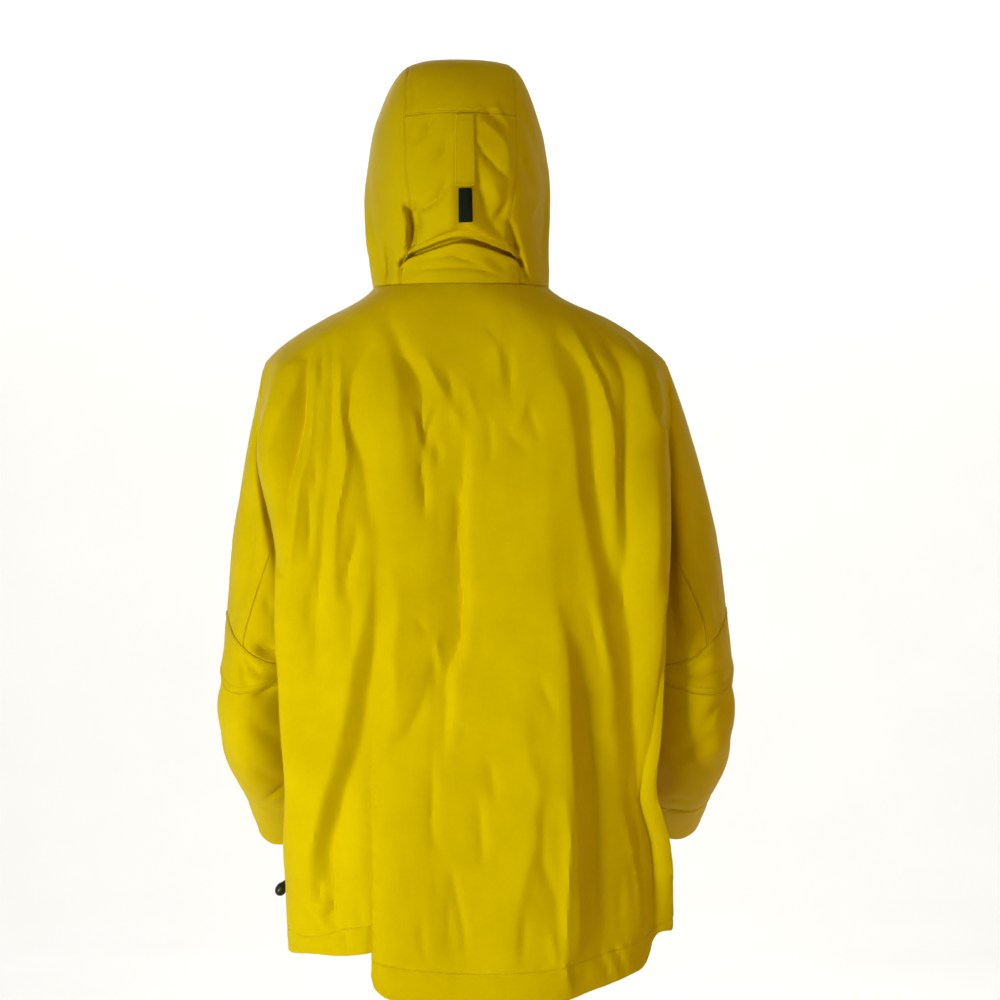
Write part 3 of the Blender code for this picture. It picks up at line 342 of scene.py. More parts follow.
def armhole_point(angle, side):
    """Place and depth on the body for an angle round the armhole: 0 top, 90 back, 180 underarm."""
    angle = np.radians(np.asarray(angle, float))
    drop = ARMHOLE_MIDDLE - ARMHOLE_HALF * np.cos(angle)
    to_back = np.sin(angle) >= 0
    reach = np.where(to_back, ARMHOLE_BACK, ARMHOLE_FRONT)
    away = armhole_place(drop, reach)
    return side * (SIDE - np.where(to_back, away, -away)), drop


def ring_points(values, side, angles):
    r = named(RING_COLUMNS, values)
    bend, lift = math.radians(r["bend"]), math.radians(r["lift"])
    out = np.array([side * math.cos(lift), 0, math.sin(lift)])
    back = np.array([0, math.cos(bend), -math.sin(bend)])
    centre = np.array([side * r["x"], r["y"], r["z"]])
    cosine, sine = np.cos(np.radians(angles)), np.sin(np.radians(angles))
    reach = (np.abs(cosine) ** RING_SQUARE + np.abs(sine) ** RING_SQUARE) ** (-1 / RING_SQUARE)
    return (centre + (r["across"] * reach * cosine)[:, None] * out
            + (r["along"] * reach * sine)[:, None] * back)


def sleeve_form(body, side):
    angles = np.arange(RING_POINTS) * 360 / RING_POINTS
    grid = [body.point(*armhole_point(angles, side))]
    grid += [ring_points(row, side, angles) for row in SLEEVE_RINGS["left" if side > 0 else "right"]]
    return Loft(range(len(grid)), grid, closed=True, outward=-side)


# ------------ noise, folds and creases
# For each side: the axis that runs across it, the axis that points at it, and which way.
SEEN_FROM = {"back": (0, 1, 1), "front": (0, 1, -1), "left": (1, 0, 1), "right": (1, 0, -1)}
DRIFT, DRIFT_GRAIN = 4, 70  # a fold's line wanders by this much, over this length, mm
FOLD_EDGE, TUCK_EDGE = 1.35, 1.5  # 2 is a bell's curve; less is sharper at the crest
# The soft rumples of worn cloth: share of the height, grain in mm, and what is added to the seed.
RUMPLES = [(0.8, (34, 34, 62), 0), (0.36, (15, 15, 24), 1), (0.13, 7, 2), (0.2, (6, 6, 44), 5)]


def noise(points, scale, seed):
    """Smooth noise from -1 to 1 at points in millimetres; scale is its grain, alone or for x, y, z."""
    p = points / np.asarray(scale, float)
    cell = np.floor(p).astype(np.int64)
    t = ease(p - cell)
    total = np.zeros(points.shape[:-1])
    for dx in (0, 1):
        for dy in (0, 1):
            for dz in (0, 1):
                h = ((cell[..., 0] + dx) * 73856093 ^ (cell[..., 1] + dy) * 19349663
                     ^ (cell[..., 2] + dz) * 83492791 ^ seed * 2654435761)
                h = (h ^ (h >> 13)) * 1274126177 & 0x7FFFFFFF
                h = (h ^ (h >> 16)) & 0xFFFF
                weight = ((t[..., 0] if dx else 1 - t[..., 0]) * (t[..., 1] if dy else 1 - t[..., 1])
                          * (t[..., 2] if dz else 1 - t[..., 2]))
                total += weight * (h / 32767.5 - 1)
    return total


def along_line(x, z, line):
    """How far points lie beside a line, past its ends, and along it.

    Beside it is plus on its left as it runs, and along it is a share from 0 to 1.
    """
    line = np.array(line, float)
    knots = distance_along(line)
    if len(line) > 2:  # round the corners of the line off
        table_x, table_z = ([(k, c) for k, c in zip(knots, line[:, i])] for i in (0, 1))
        run = np.linspace(0, knots[-1], 4 * len(line))
        line = np.stack([smooth(table_x, run), smooth(table_z, run)], axis=1)
        knots = distance_along(line)
    nearest = np.full(x.shape, 1e9)
    beside, past, along = np.zeros(x.shape), np.zeros(x.shape), np.zeros(x.shape)
    for start, end, run in zip(line[:-1], line[1:], knots[:-1]):
        way = end - start
        length = np.linalg.norm(way)
        from_x, from_z = x - start[0], z - start[1]
        t = (from_x * way[0] + from_z * way[1]) / length ** 2
        over = (t - np.clip(t, 0, 1)) * length
        aside = (way[0] * from_z - way[1] * from_x) / length
        closer = np.hypot(aside, over) < nearest
        nearest = np.where(closer, np.hypot(aside, over), nearest)
        beside, past = np.where(closer, aside, beside), np.where(closer, over, past)
        along = np.where(closer, (run + np.clip(t, 0, 1) * length) / knots[-1], along)
    return beside, past, along


def ridge(x, z, left, right, line, power):
    """The share, 0 to 1, of a fold's height beside its line, and how far along the line it is."""
    beside, past, along = along_line(x, z, line)
    width = np.where(beside > 0, left, right)
    return np.exp(-np.hypot(beside / width, 2 * past / (left + right)) ** power), along


def fold_relief(points, out, folds):
    """Height of all the folds of a table at the points.  out says which side each point faces."""
    relief = np.zeros(points.shape[:-1])
    drift_x, drift_z = (noise(points, DRIFT_GRAIN, seed) * DRIFT for seed in (11, 12))
    flat_z = points[..., 2]
    for side, rows in folds.items():
        across, towards, sign = SEEN_FROM[side]
        flat_x, facing = points[..., across], sign * out[..., towards]
        for depth, left, right, line in rows:
            reach = 3 * max(left, right)
            low, high = np.min(line, axis=0) - reach, np.max(line, axis=0) + reach
            near = ((facing > 0.02) & (flat_x > low[0]) & (flat_x < high[0])
                    & (flat_z > low[1]) & (flat_z < high[1]))
            if not near.any():
                continue
            shape, along = ridge((flat_x + drift_x)[near], (flat_z + drift_z)[near], left, right, line,
                                 FOLD_EDGE)
            strength = np.sin(np.pi * np.clip(0.1 + 0.8 * along, 0, 1)) ** 0.8  # less at its ends
            relief[near] += depth * strength * shape * np.clip(facing[near] * 1.6, 0, 1)
    return relief


def crumple(points, amount, seed):
    """The small unevenness of worn cloth: soft rumples, longer than wide, and a few thin creases."""
    soft = sum(share * noise(points, grain, seed + more) for share, grain, more in RUMPLES)
    thin = 1 - np.abs(noise(points, (26, 26, 38), seed + 3)) / 0.12
    sparse = np.clip(noise(points, 55, seed + 4) * 1.6 - 0.25, 0, 1)
    return amount * (soft - 0.75 * np.clip(thin, 0, 1) ** 1.5 * sparse)


# ------------ sheets of cloth
def spread(length, step, near):
    """Shares of each length, 0 to 1, in about equal steps, with closer ones near marked ends.

    length is an array, and the result has a row for each of its values.  near is a pair: the
    distances from the start, and those from the end, that get a line of their own.
    """
    length = np.asarray(length, float)[:, None]
    first, last = (np.asarray(side, float)[None, :] for side in near)
    start, end = first / length, 1 - last[:, ::-1] / length
    count = max(int(round((length.mean() - first.max() - last.max()) / step)), 2)
    t = np.linspace(0, 1, count + 1)[None, 1:-1]
    low, high = start[:, -1:], end[:, :1]
    return np.concatenate([start, low + (high - low) * t, end], axis=1)


# How each edge is finished, by name:
#   seam          sewn, and left to roll down into the join
#   neck          a flat seam that hardly shows
#   under         goes under its neighbour's turned edge
#   lap           turned under and stitched down on its neighbour with two rows
#   lap_single    the same, with one row
#   fold          one row of stitches pulls the cloth down
#   free          a turned edge, rounded over
# The mesh has a line at each of these distances in from an edge, mm.
SEAM_LINES = [0, 0.5, 1.1, 1.9, 2.8, 4.2, 6.2]
RIM_LINES = SEAM_LINES[:5]
LAP_LINES = [0, 0.4, 0.9, 1.5, 2.1, 3.0, 4.4, 5.6, 6.4, 7.1, 8.0, 9.2, 11]
LINES = {"seam": SEAM_LINES, "neck": SEAM_LINES, "under": SEAM_LINES, "lap": LAP_LINES,
         "lap_single": LAP_LINES, "free": SEAM_LINES, "fold": SEAM_LINES}
# How far the cloth is turned in past a sewn edge: beyond it, and down into the jacket, mm.
ALLOWANCE = {"seam": (1.6, 3.2), "neck": (1.6, 3.2), "under": (5.0, 1.4), "lap": (-0.6, 2.6),
             "lap_single": (-0.6, 2.6), "fold": (0.8, 2.8)}
# How far an edge rolls down, over what breadth, and how roundly.
ROLL = {"seam": (1.5, 3.6, 2), "neck": (0.5, 1.6, 2), "under": (1.0, 1.8, 1.5), "lap": (1.2, 1.0, 2),
        "lap_single": (0.7, 1.0, 2), "free": (1.1, 1.6, 2)}
RAISED = {"lap": 0.7, "lap_single": 0.3}  # a turned-under edge stands up by this, mm,
RAISED_TO, RAISED_SLOPE = 9.2, 3.5  # and comes down at this distance, over this
STITCH_ROWS = {"lap": [1.9, 7.1], "lap_single": [1.9], "fold": [0.8]}  # distance in, mm
STITCH_DENT, DENT_BREADTH = 0.42, 0.75  # how far a row pulls the cloth down


def edge_height(kind, d, along):
    """How an edge's finish lifts or sinks the cloth, d millimetres in from it."""
    ripple = np.clip(0.55 + 0.6 * along, 0, 1.2)
    if kind == "fold":
        return -0.5 * np.exp(-(d / 1.7) ** 2) + 0.25 * ripple * np.exp(-((d - 7) / 4.5) ** 2)
    depth, breadth, roundness = ROLL[kind]
    height = -depth * np.clip(1 - d / breadth, 0, 1) ** roundness
    if kind in RAISED:
        raised = RAISED[kind] * np.clip((RAISED_TO - d) / RAISED_SLOPE, 0, 1)
        height += raised * (0.8 + 0.35 * ripple)
        for row in STITCH_ROWS[kind]:
            height -= STITCH_DENT * np.exp(-((d - row) / DENT_BREADTH) ** 2)
    return height


class Sheet:
    """A grid of points of cloth, with the ways out of it, and the distances in from its edges."""

    def __init__(self, points, out, tube=False):
        self.points, self.out, self.tube = points, out, tube
        self.across, self.down = distance_along(points, 1), distance_along(points, 0)
        self.unfolded = points.copy()
        self.kinds = {}

    def distance(self, edge):
        return {"left": self.across, "right": self.across[:, -1:] - self.across,
                "top": self.down, "bottom": self.down[-1:, :] - self.down}[edge]

    def lift(self, height):
        self.points = self.points + self.out * height[..., None]

    def finish_edges(self, kinds, pucker=0.5):
        """Roll, lap or stitch each edge; the cloth beside a sewn edge is gathered a little."""
        self.kinds = kinds
        height = np.zeros(self.points.shape[:2])
        for edge, kind in kinds.items():
            d = self.distance(edge)
            wave = noise(self.points, 9.0, 41) + 0.5 * noise(self.points, 4.5, 42)
            height += edge_height(kind, d, wave)
            if kind != "free":
                height += pucker * wave * np.exp(-(d / 9.0) ** 1.3) * np.clip(d / 2.0, 0, 1)
        self.lift(height)

    def line(self, edge, distance):
        """Points and ways out along a line at a distance in from an edge."""
        d = self.distance(edge)
        points, out = self.points, self.out
        if edge in ("top", "bottom"):
            d, points, out = d.T, points.transpose(1, 0, 2), out.transpose(1, 0, 2)
        if edge in ("right", "bottom"):
            d, points, out = d[:, ::-1], points[:, ::-1], out[:, ::-1]
        found = []
        for row in range(len(d)):
            j = int(np.clip(np.searchsorted(d[row], distance) - 1, 0, d.shape[1] - 2))
            t = (distance - d[row, j]) / max(d[row, j + 1] - d[row, j], 1e-6)
            found.append((points[row, j] * (1 - t) + points[row, j + 1] * t,
                          out[row, j] * (1 - t) + out[row, j + 1] * t))
        line, ways = (np.array(part) for part in zip(*found))
        if self.tube and edge in ("top", "bottom"):
            line, ways = np.concatenate([line, line[:1]]), np.concatenate([ways, ways[:1]])
        return line, ways / np.linalg.norm(ways, axis=1, keepdims=True)

    def true_out(self, points, out):
        """Ways out of the folded cloth, from the grid itself."""
        if self.tube:
            padded = np.concatenate([points[:, -1:], points, points[:, :1]], axis=1)
            around = (padded[:, 2:] - padded[:, :-2])
        else:
            around = np.gradient(points, axis=1)
        normal = np.cross(around, np.gradient(points, axis=0))
        normal /= np.linalg.norm(normal, axis=-1, keepdims=True) + 1e-9
        return normal * np.sign((normal * out).sum())

    def with_allowances(self):
        """The grid's points, ways out and place on the cut, with a line more beyond each sewn edge.

        The cloth is turned in there, so that no daylight shows between two pieces.
        """
        flat = np.stack([self.across - self.across[:, -1:] / 2, self.down], axis=-1)
        grids = [self.points, self.out, flat]
        for edge, kind in self.kinds.items():
            if kind == "free":
                continue
            axis = 0 if edge in ("top", "bottom") else 1
            first = edge in ("top", "left")
            lines = [np.moveaxis(grid, axis, 0)[::1 if first else -1] for grid in grids]
            points, out = lines[0], lines[1]
            away = points[0] - points[2]
            away /= np.linalg.norm(away, axis=-1, keepdims=True) + 1e-9
            beyond, sunk = ALLOWANCE[kind]
            extra = [points[0] + away * beyond - out[0] * sunk, out[0], lines[2][0]]
            joined = [np.concatenate([new[None], line]) for new, line in zip(extra, lines)]
            grids = [np.moveaxis(line[::1 if first else -1], 0, axis) for line in joined]
        return grids

    def mesh(self, name, outside, inside, thickness=1.5):
        """The wall of cloth: the grid is its outer face, and its inner face has another finish.

        Its UV map is the cut laid out flat in metres, so that the weave runs with the grain.
        """
        outer, out, flat = self.with_allowances()
        way = self.true_out(outer, out) * 0.75 + out * 0.25  # the folds' way out, softened
        inner = outer - way / np.linalg.norm(way, axis=-1, keepdims=True) * thickness
        rows, columns = outer.shape[:2]
        index = np.arange(rows * columns).reshape(rows, columns)
        if self.tube:
            index = np.concatenate([index, index[:, :1]], axis=1)
        a, b, c, d = index[:-1, :-1], index[:-1, 1:], index[1:, 1:], index[1:, :-1]
        front = np.stack([a, b, c, d], axis=-1).reshape(-1, 4)
        step = rows * columns
        rims = [(index[0, 1:], index[0, :-1]), (index[-1, :-1], index[-1, 1:])]
        if not self.tube:
            rims += [(index[:-1, 0], index[1:, 0]), (index[1:, -1], index[:-1, -1])]
        sides = [np.stack([start, end, end + step, start + step], axis=-1) for start, end in rims]
        faces = np.concatenate([front] + sides + [front[:, ::-1] + step])
        quad = front[len(front) // 2]
        corner = outer.reshape(-1, 3)[quad]
        if np.cross(corner[1] - corner[0], corner[3] - corner[0]) @ out.reshape(-1, 3)[quad[0]] < 0:
            faces = faces[:, ::-1]
        made = mesh_piece(name, np.concatenate([outer, inner]).reshape(-1, 3), faces, outside)
        made.data.materials.append(inside)
        slots = np.zeros(len(faces), np.int32)
        slots[-len(front):] = 1
        made.data.polygons.foreach_set("material_index", slots)
        at = np.zeros(len(made.data.loops), np.int32)
        made.data.loops.foreach_get("vertex_index", at)
        layer = made.data.uv_layers.new(name="cut")
        layer.data.foreach_set("uv", (np.concatenate([flat, flat]).reshape(-1, 2) * MM)[at].ravel())
        return made

    def cut(self):
        """Width, length and area in metres of the piece before it was folded."""
        p = self.unfolded
        if self.tube:
            p = np.concatenate([p, p[:, :1]], axis=1)
        across = np.linalg.norm(np.diff(p, axis=1), axis=-1).sum(axis=1)
        down = np.linalg.norm(np.diff(p, axis=0), axis=-1).sum(axis=0)
        a, b, d, c = p[:-1, :-1], p[:-1, 1:], p[1:, :-1], p[1:, 1:]
        area = np.linalg.norm(np.cross(c - a, d - b), axis=-1).sum() / 2
        return across.max() * MM, down.max() * MM, area * MM * MM


def linked(made):
    bpy.context.collection.objects.link(made)
    return made


def placed(mesh, finish, smooth_angle):
    """The mesh as an object of its name, shaded smooth but for its sharp edges."""
    mesh.shade_smooth()
    mesh.set_sharp_from_angle(angle=math.radians(smooth_angle))
    mesh.materials.append(finish)
    return linked(bpy.data.objects.new(mesh.name, mesh))


def ring_quads(rings, count, closed=False):
    """Faces between neighbouring rings of points, and from the last to the first if closed."""
    index = np.arange(rings * count).reshape(rings, count)
    if closed:
        index = np.concatenate([index, index[:1]])
    after = np.roll(index, -1, axis=1)
    return np.stack([index[:-1], after[:-1], after[1:], index[1:]], axis=-1).reshape(-1, 4)


ROUND_ANGLE = 80  # thin round threads and wires are smooth all round


def full_turn(count):
    return np.arange(count) * 2 * math.pi / count


def mesh_piece(name, points, faces, finish, smooth_angle=38):
    """An object from points in millimetres and faces with the same number of corners."""
    mesh = bpy.data.meshes.new(name)
    faces = np.asarray(faces)
    mesh.vertices.add(len(points))
    mesh.vertices.foreach_set("co", (np.asarray(points, float) * MM).ravel())
    mesh.loops.add(faces.size)
    mesh.loops.foreach_set("vertex_index", faces.astype(np.int32).ravel())
    mesh.polygons.add(len(faces))
    mesh.polygons.foreach_set("loop_start", np.arange(len(faces), dtype=np.int32) * faces.shape[1])
    mesh.update(calc_edges=True)
    mesh.validate()
    return placed(mesh, finish, smooth_angle)


# ------------ the folds, by where they lie
# Folds by the side they are seen from.  Each has its height (a trough is less than nothing), its
# widths to the wearer's left and right where it runs downwards, and the line of its crest, mm.
# Lines are (x, z), or (y, z) on the left and right sides.
BODY_FOLDS = {
    "back": [
        (12, 95, 34, [(-84, -180), (-90, -300), (-97, -400), (-102, -500), (-105, -600), (-106, -720),
            (-106, -800)]),
        (-32, 100, 100, [(-262, -350), (-262, -450), (-262, -600), (-262, -820)]),
        (8, 24, 12, [(-198, -210), (-200, -260), (-201, -310), (-201, -350)]),
        (-2.6, 2.5, 2.5, [(183, -676), (171, -692), (158, -708)]),
        (-3.4, 9, 15, [(104, -470), (103, -560), (101, -650), (100, -750)]),
        (13, 14, 16, [(206, -96), (213, -140), (219, -180), (220, -230), (214, -284)]),
        (-15, 11, 12, [(176, -90), (178, -115), (180, -140), (183, -165), (188, -190), (191, -210),
            (195, -230), (197, -254)]),
        (7, 12, 8, [(183, -98), (187, -118), (194, -138), (202, -158), (206, -180), (211, -205),
            (214, -228)]),
        (4.5, 11, 4, [(165, -98), (166, -140), (168, -170), (172, -195), (177, -212), (182, -235),
            (186, -270), (190, -310)]),
        (-3.5, 5, 5, [(159, -76), (158, -100), (156, -122)]),
        (-6, 8, 6, [(146, -74), (144, -110), (144, -135), (146, -160), (147, -190), (151, -207)]),
        (5, 9, 4, [(135, -96), (134, -130), (133, -160), (131, -185), (132, -210), (136, -235),
            (140, -260), (143, -300), (142, -340)]),
        (-8, 9, 14, [(108, -82), (118, -100), (123, -118), (125, -135), (127, -158), (124, -176),
            (119, -191), (115, -207), (112, -228), (109, -248), (107, -266)]),
        (-4.5, 6, 5, [(166, -203), (166, -222), (168, -242)]),
        (-5, 6, 5, [(173, -232), (172, -262), (173, -300)]),
        (-6, 8, 10, [(153, -203), (154, -235), (156, -270), (158, -305), (161, -335), (163, -375),
            (163, -425)]),
        (-6, 8, 6, [(121, -272), (121, -286), (125, -300), (130, -320), (129, -345)]),
        (-3.5, 9, 8, [(124, -345), (125, -380), (126, -412)]),
        (-4, 9, 8, [(168, -330), (171, -360), (172, -385)]),
        (-7.8, 12, 17, [(99, -262), (99, -290), (101, -330), (101, -360), (100, -390), (101, -412),
            (105, -436), (110, -457), (113, -478), (117, -502), (124, -525), (132, -546), (138, -566),
            (142, -586), (149, -603), (154, -620), (152, -640), (147, -665), (149, -692)]),
        (9, 24, 13, [(106, -320), (110, -360), (114, -385), (119, -405), (123, -426), (127, -446),
            (130, -466), (134, -486), (139, -504), (143, -523), (148, -543), (154, -563), (159, -590),
            (164, -609), (168, -630), (168, -646), (165, -662)]),
        (-4.8, 15, 12, [(133, -546), (140, -572), (147, -600), (152, -620), (153, -638), (149, -656)]),
        (6, 18, 10, [(150, -546), (158, -580), (165, -610), (169, -634), (168, -652)]),
        (-4, 12, 9, [(141, -618), (138, -638), (141, -655)]),
        (-5, 4, 4, [(161, -655), (162, -666), (161, -676)]),
        (-5.5, 4, 4, [(149, -672), (148, -684), (151, -696)]),
        (2.4, 3, 3, [(170, -672), (162, -680), (153, -684)]),
        (-1.8, 2.5, 2.5, [(171, -684), (161, -682), (154, -683)]),
        (2.2, 3, 3, [(168, -688), (161, -692), (154, -690)]),
        (1.8, 3, 3, [(164, -696), (157, -700), (150, -704)]),
        (-2.4, 4, 4, [(184, -702), (179, -705), (173, -706)]),
        (-2.6, 4, 4, [(146, -696), (142, -704), (139, -709)]),
        (-2.6, 3, 3, [(131, -704), (132, -716), (130, -731)]),
        (-2, 6, 5, [(116, -672), (115, -690), (112, -704)]),
        (-10, 26, 9, [(82, -54), (76, -66), (67, -86), (54, -103), (47, -120), (45, -140), (46, -158)]),
        (8, 26, 20, [(96, -58), (86, -76), (80, -96), (74, -114), (71, -132), (71, -152), (70, -178),
            (76, -212)]),
        (4.5, 5, 5, [(42, -92), (36, -105), (29, -119), (23, -129)]),
        (-3, 5, 4, [(19, -106), (14, -122), (11, -140)]),
        (-5, 4, 5, [(29, -144), (34, -155), (40, -168), (44, -186)]),
        (3, 3, 3, [(55, -149), (52, -160), (51, -174), (46, -188)]),
        (-5, 5, 3, [(46, -146), (47, -160), (45, -184)]),
        (-4, 6, 4, [(34, -178), (31, -190), (32, -202)]),
        (-6, 7, 5, [(48, -190), (50, -208), (48, -230), (47, -254)]),
        (2.4, 4, 5, [(13, -140), (9, -152), (5, -164)]),
        (2.4, 4, 4, [(-2, -122), (-8, -138), (-14, -154)]),
        (-3.5, 8, 4, [(-46, -84), (-47, -105), (-46, -128)]),
        (2.6, 8, 4, [(-28, -64), (-34, -84), (-36, -112)]),
        (-2.6, 5, 4, [(-64, -140), (-69, -156), (-74, -172)]),
        (2.6, 8, 5, [(-62, -128), (-57, -148), (-49, -164)]),
        (-2.4, 5, 4, [(-42, -166), (-50, -176), (-62, -186)]),
        (-2.8, 5, 4, [(-24, -156), (-26, -176), (-24, -196)]),
        (-2, 4, 4, [(-22, -54), (-28, -62), (-32, -76)]),
        (-12, 30, 5, [(2, -185), (4, -220), (6, -255), (6, -300), (6, -340), (6, -380), (9, -408),
            (19, -430), (21, -460), (25, -492)]),
        (-4, 7, 4, [(10, -236), (8, -250), (8, -268), (10, -296)]),
        (2.6, 4, 4, [(30, -386), (31, -400), (28, -414), (24, -424)]),
        (-2.4, 7, 6, [(34, -412), (33, -428), (33, -444)]),
        (-2.4, 4, 4, [(56, -370), (50, -378), (44, -386)]),
        (-4, 7, 12, [(40, -440), (50, -464), (62, -484), (80, -508)]),
        (4, 10, 12, [(84, -320), (78, -360), (78, -400), (76, -440), (78, -476)]),
        (-3.5, 10, 6, [(37, -530), (34, -560), (36, -596), (30, -620)]),
        (-3, 8, 5, [(-24, -524), (-29, -548), (-30, -566)]),
        (-3, 7, 6, [(-14, -562), (-15, -596), (-14, -632)]),
        (-3, 5, 4, [(18, -640), (14, -662), (10, -684), (6, -706), (5, -728)]),
        (-2.4, 7, 6, [(22, -672), (21, -700), (20, -726)]),
        (-1.8, 4, 4, [(48, -696), (46, -718), (42, -740)]),
        (5, 26, 12, [(-62, -480), (-66, -520), (-74, -556), (-70, -584), (-72, -612), (-64, -640),
            (-54, -676), (-52, -706), (-56, -740)]),
        (-3, 9, 7, [(-82, -572), (-80, -604), (-82, -640), (-94, -672), (-98, -710)]),
        (-3, 6, 7, [(-59, -690), (-59, -716), (-60, -740)]),
        (4, 5, 6, [(-104, -566), (-108, -600), (-107, -624), (-106, -650), (-105, -700), (-106, -742)]),
        (2.4, 4, 3, [(-88, -708), (-93, -724), (-97, -742)]),
        (-2.4, 5, 5, [(-80, -438), (-87, -456), (-95, -474)]),
        (9, 16, 11, [(-98, -366), (-102, -386), (-106, -408), (-108, -430), (-110, -452), (-112, -476),
            (-113, -504), (-115, -540), (-117, -570), (-119, -600), (-118, -640), (-120, -680),
            (-121, -704), (-118, -730)]),
        (-8, 18, 20, [(-108, -384), (-115, -406), (-120, -430), (-126, -450), (-131, -474), (-133, -510),
            (-134, -550), (-136, -600), (-138, -640), (-145, -674), (-150, -698), (-155, -722)]),
        (-9.5, 22, 11, [(-102, -72), (-113, -82), (-122, -94), (-129, -108), (-133, -126), (-136, -150),
            (-137, -180), (-139, -212), (-143, -245), (-147, -280), (-152, -312), (-160, -345)]),
        (6.5, 18, 12, [(-98, -112), (-106, -130), (-110, -150), (-114, -168), (-116, -190), (-118, -212),
            (-120, -236), (-125, -262), (-130, -292), (-136, -326), (-142, -362), (-148, -392),
            (-154, -422), (-159, -450), (-162, -484), (-166, -520)]),
        (5, 10, 5, [(-118, -62), (-130, -84), (-138, -100), (-146, -116), (-152, -136), (-158, -160),
            (-160, -190), (-161, -222), (-160, -254), (-160, -290)]),
        (-2.4, 4, 4, [(-126, -57), (-134, -75), (-141, -91), (-149, -106), (-155, -126), (-163, -158)]),
        (-3, 3, 3, [(-148, -62), (-154, -74), (-159, -86)]),
        (-8, 10, 10, [(-158, -82), (-168, -98), (-173, -118), (-173, -150), (-171, -200), (-172, -250),
            (-172, -300), (-169, -335), (-172, -360)]),
        (-10, 26, 13, [(-162, -310), (-170, -352), (-177, -392), (-181, -430), (-185, -468), (-189, -502),
            (-193, -536), (-199, -570)]),
        (14, 24, 6, [(-206, -110), (-209, -150), (-212, -190), (-213, -240), (-213, -300), (-213, -360),
            (-212, -420), (-210, -480), (-207, -520), (-204, -552)]),
        (10, 14, 6, [(-168, -66), (-180, -80), (-187, -96), (-192, -118), (-197, -140), (-204, -166)]),
        (-9, 6, 6, [(-188, -76), (-195, -96), (-199, -120), (-201, -140), (-207, -158)]),
        (-3, 3, 3, [(-203, -148), (-210, -158), (-216, -170)]),
        (4, 5, 4, [(-206, -112), (-211, -130), (-215, -150)]),
        (-2.2, 4, 4, [(-128, -356), (-133, -376), (-138, -398), (-143, -416), (-146, -432)]),
        (1.8, 5, 5, [(-134, -352), (-142, -378), (-148, -404), (-153, -428), (-158, -444)]),
        (-2.4, 8, 6, [(-182, -542), (-186, -572), (-190, -602), (-194, -630), (-198, -656)]),
        (2.4, 5, 3, [(-177, -580), (-183, -606), (-189, -634), (-194, -664), (-197, -704)]),
        (-1.4, 5, 5, [(-184, -628), (-188, -652), (-190, -682)]),
        (-1.8, 6, 5, [(-170, -650), (-172, -684), (-172, -718)]),
        (2.4, 3, 4, [(-106, -742), (-110, -756), (-114, -770)]),
        (-2.2, 4, 4, [(-116, -744), (-120, -756), (-122, -768)]),
        (-1.8, 3, 3, [(-128, -740), (-130, -752), (-132, -764)]),
        (-2.6, 3, 4, [(-148, -732), (-155, -746), (-162, -762)]),
        (2.4, 3, 3, [(-156, -728), (-162, -742), (-168, -758)]),
        (-2, 3, 3, [(-164, -727), (-170, -740), (-176, -754)]),
        (2.4, 3, 3, [(-172, -722), (-178, -736), (-184, -750)]),
        (2, 3, 3, [(-181, -718), (-186, -732), (-191, -744)]),
    ],
    "front": [
        (-8, 24, 20, [(-70, -200), (-92, -360), (-104, -520), (-96, -690)]),
        (-8, 18, 24, [(78, -230), (96, -390), (98, -540), (110, -700)]),
        (6, 24, 22, [(46, -160), (60, -330), (62, -520)]),
        (6, 20, 24, [(-44, -180), (-54, -380), (-62, -600)]),
        (-3, 12, 10, [(130, -180), (112, -260), (70, -330)]),
        (-3, 10, 12, [(-128, -170), (-116, -250), (-72, -318)]),
        (3, 12, 14, [(118, -420), (126, -540), (132, -680)]),
        (3, 14, 11, [(-124, -430), (-130, -560), (-136, -690)]),
        (-2.5, 9, 9, [(22, -520), (30, -610), (40, -700)]),
        (-2.5, 9, 9, [(-20, -440), (-26, -560), (-34, -680)]),
    ],
    "left": [
        (-4, 12, 14, [(20, -400), (10, -520), (16, -640)]),
        (-6, 28, 28, [(62, -636), (60, -672), (58, -705), (56, -760)]),
        (3, 14, 12, [(-40, -420), (-50, -540), (-44, -690)]),
    ],
    "right": [
        (-4, 14, 12, [(14, -400), (22, -520), (12, -650)]),
        (3, 12, 14, [(-42, -430), (-46, -560), (-52, -690)]),
    ],
}
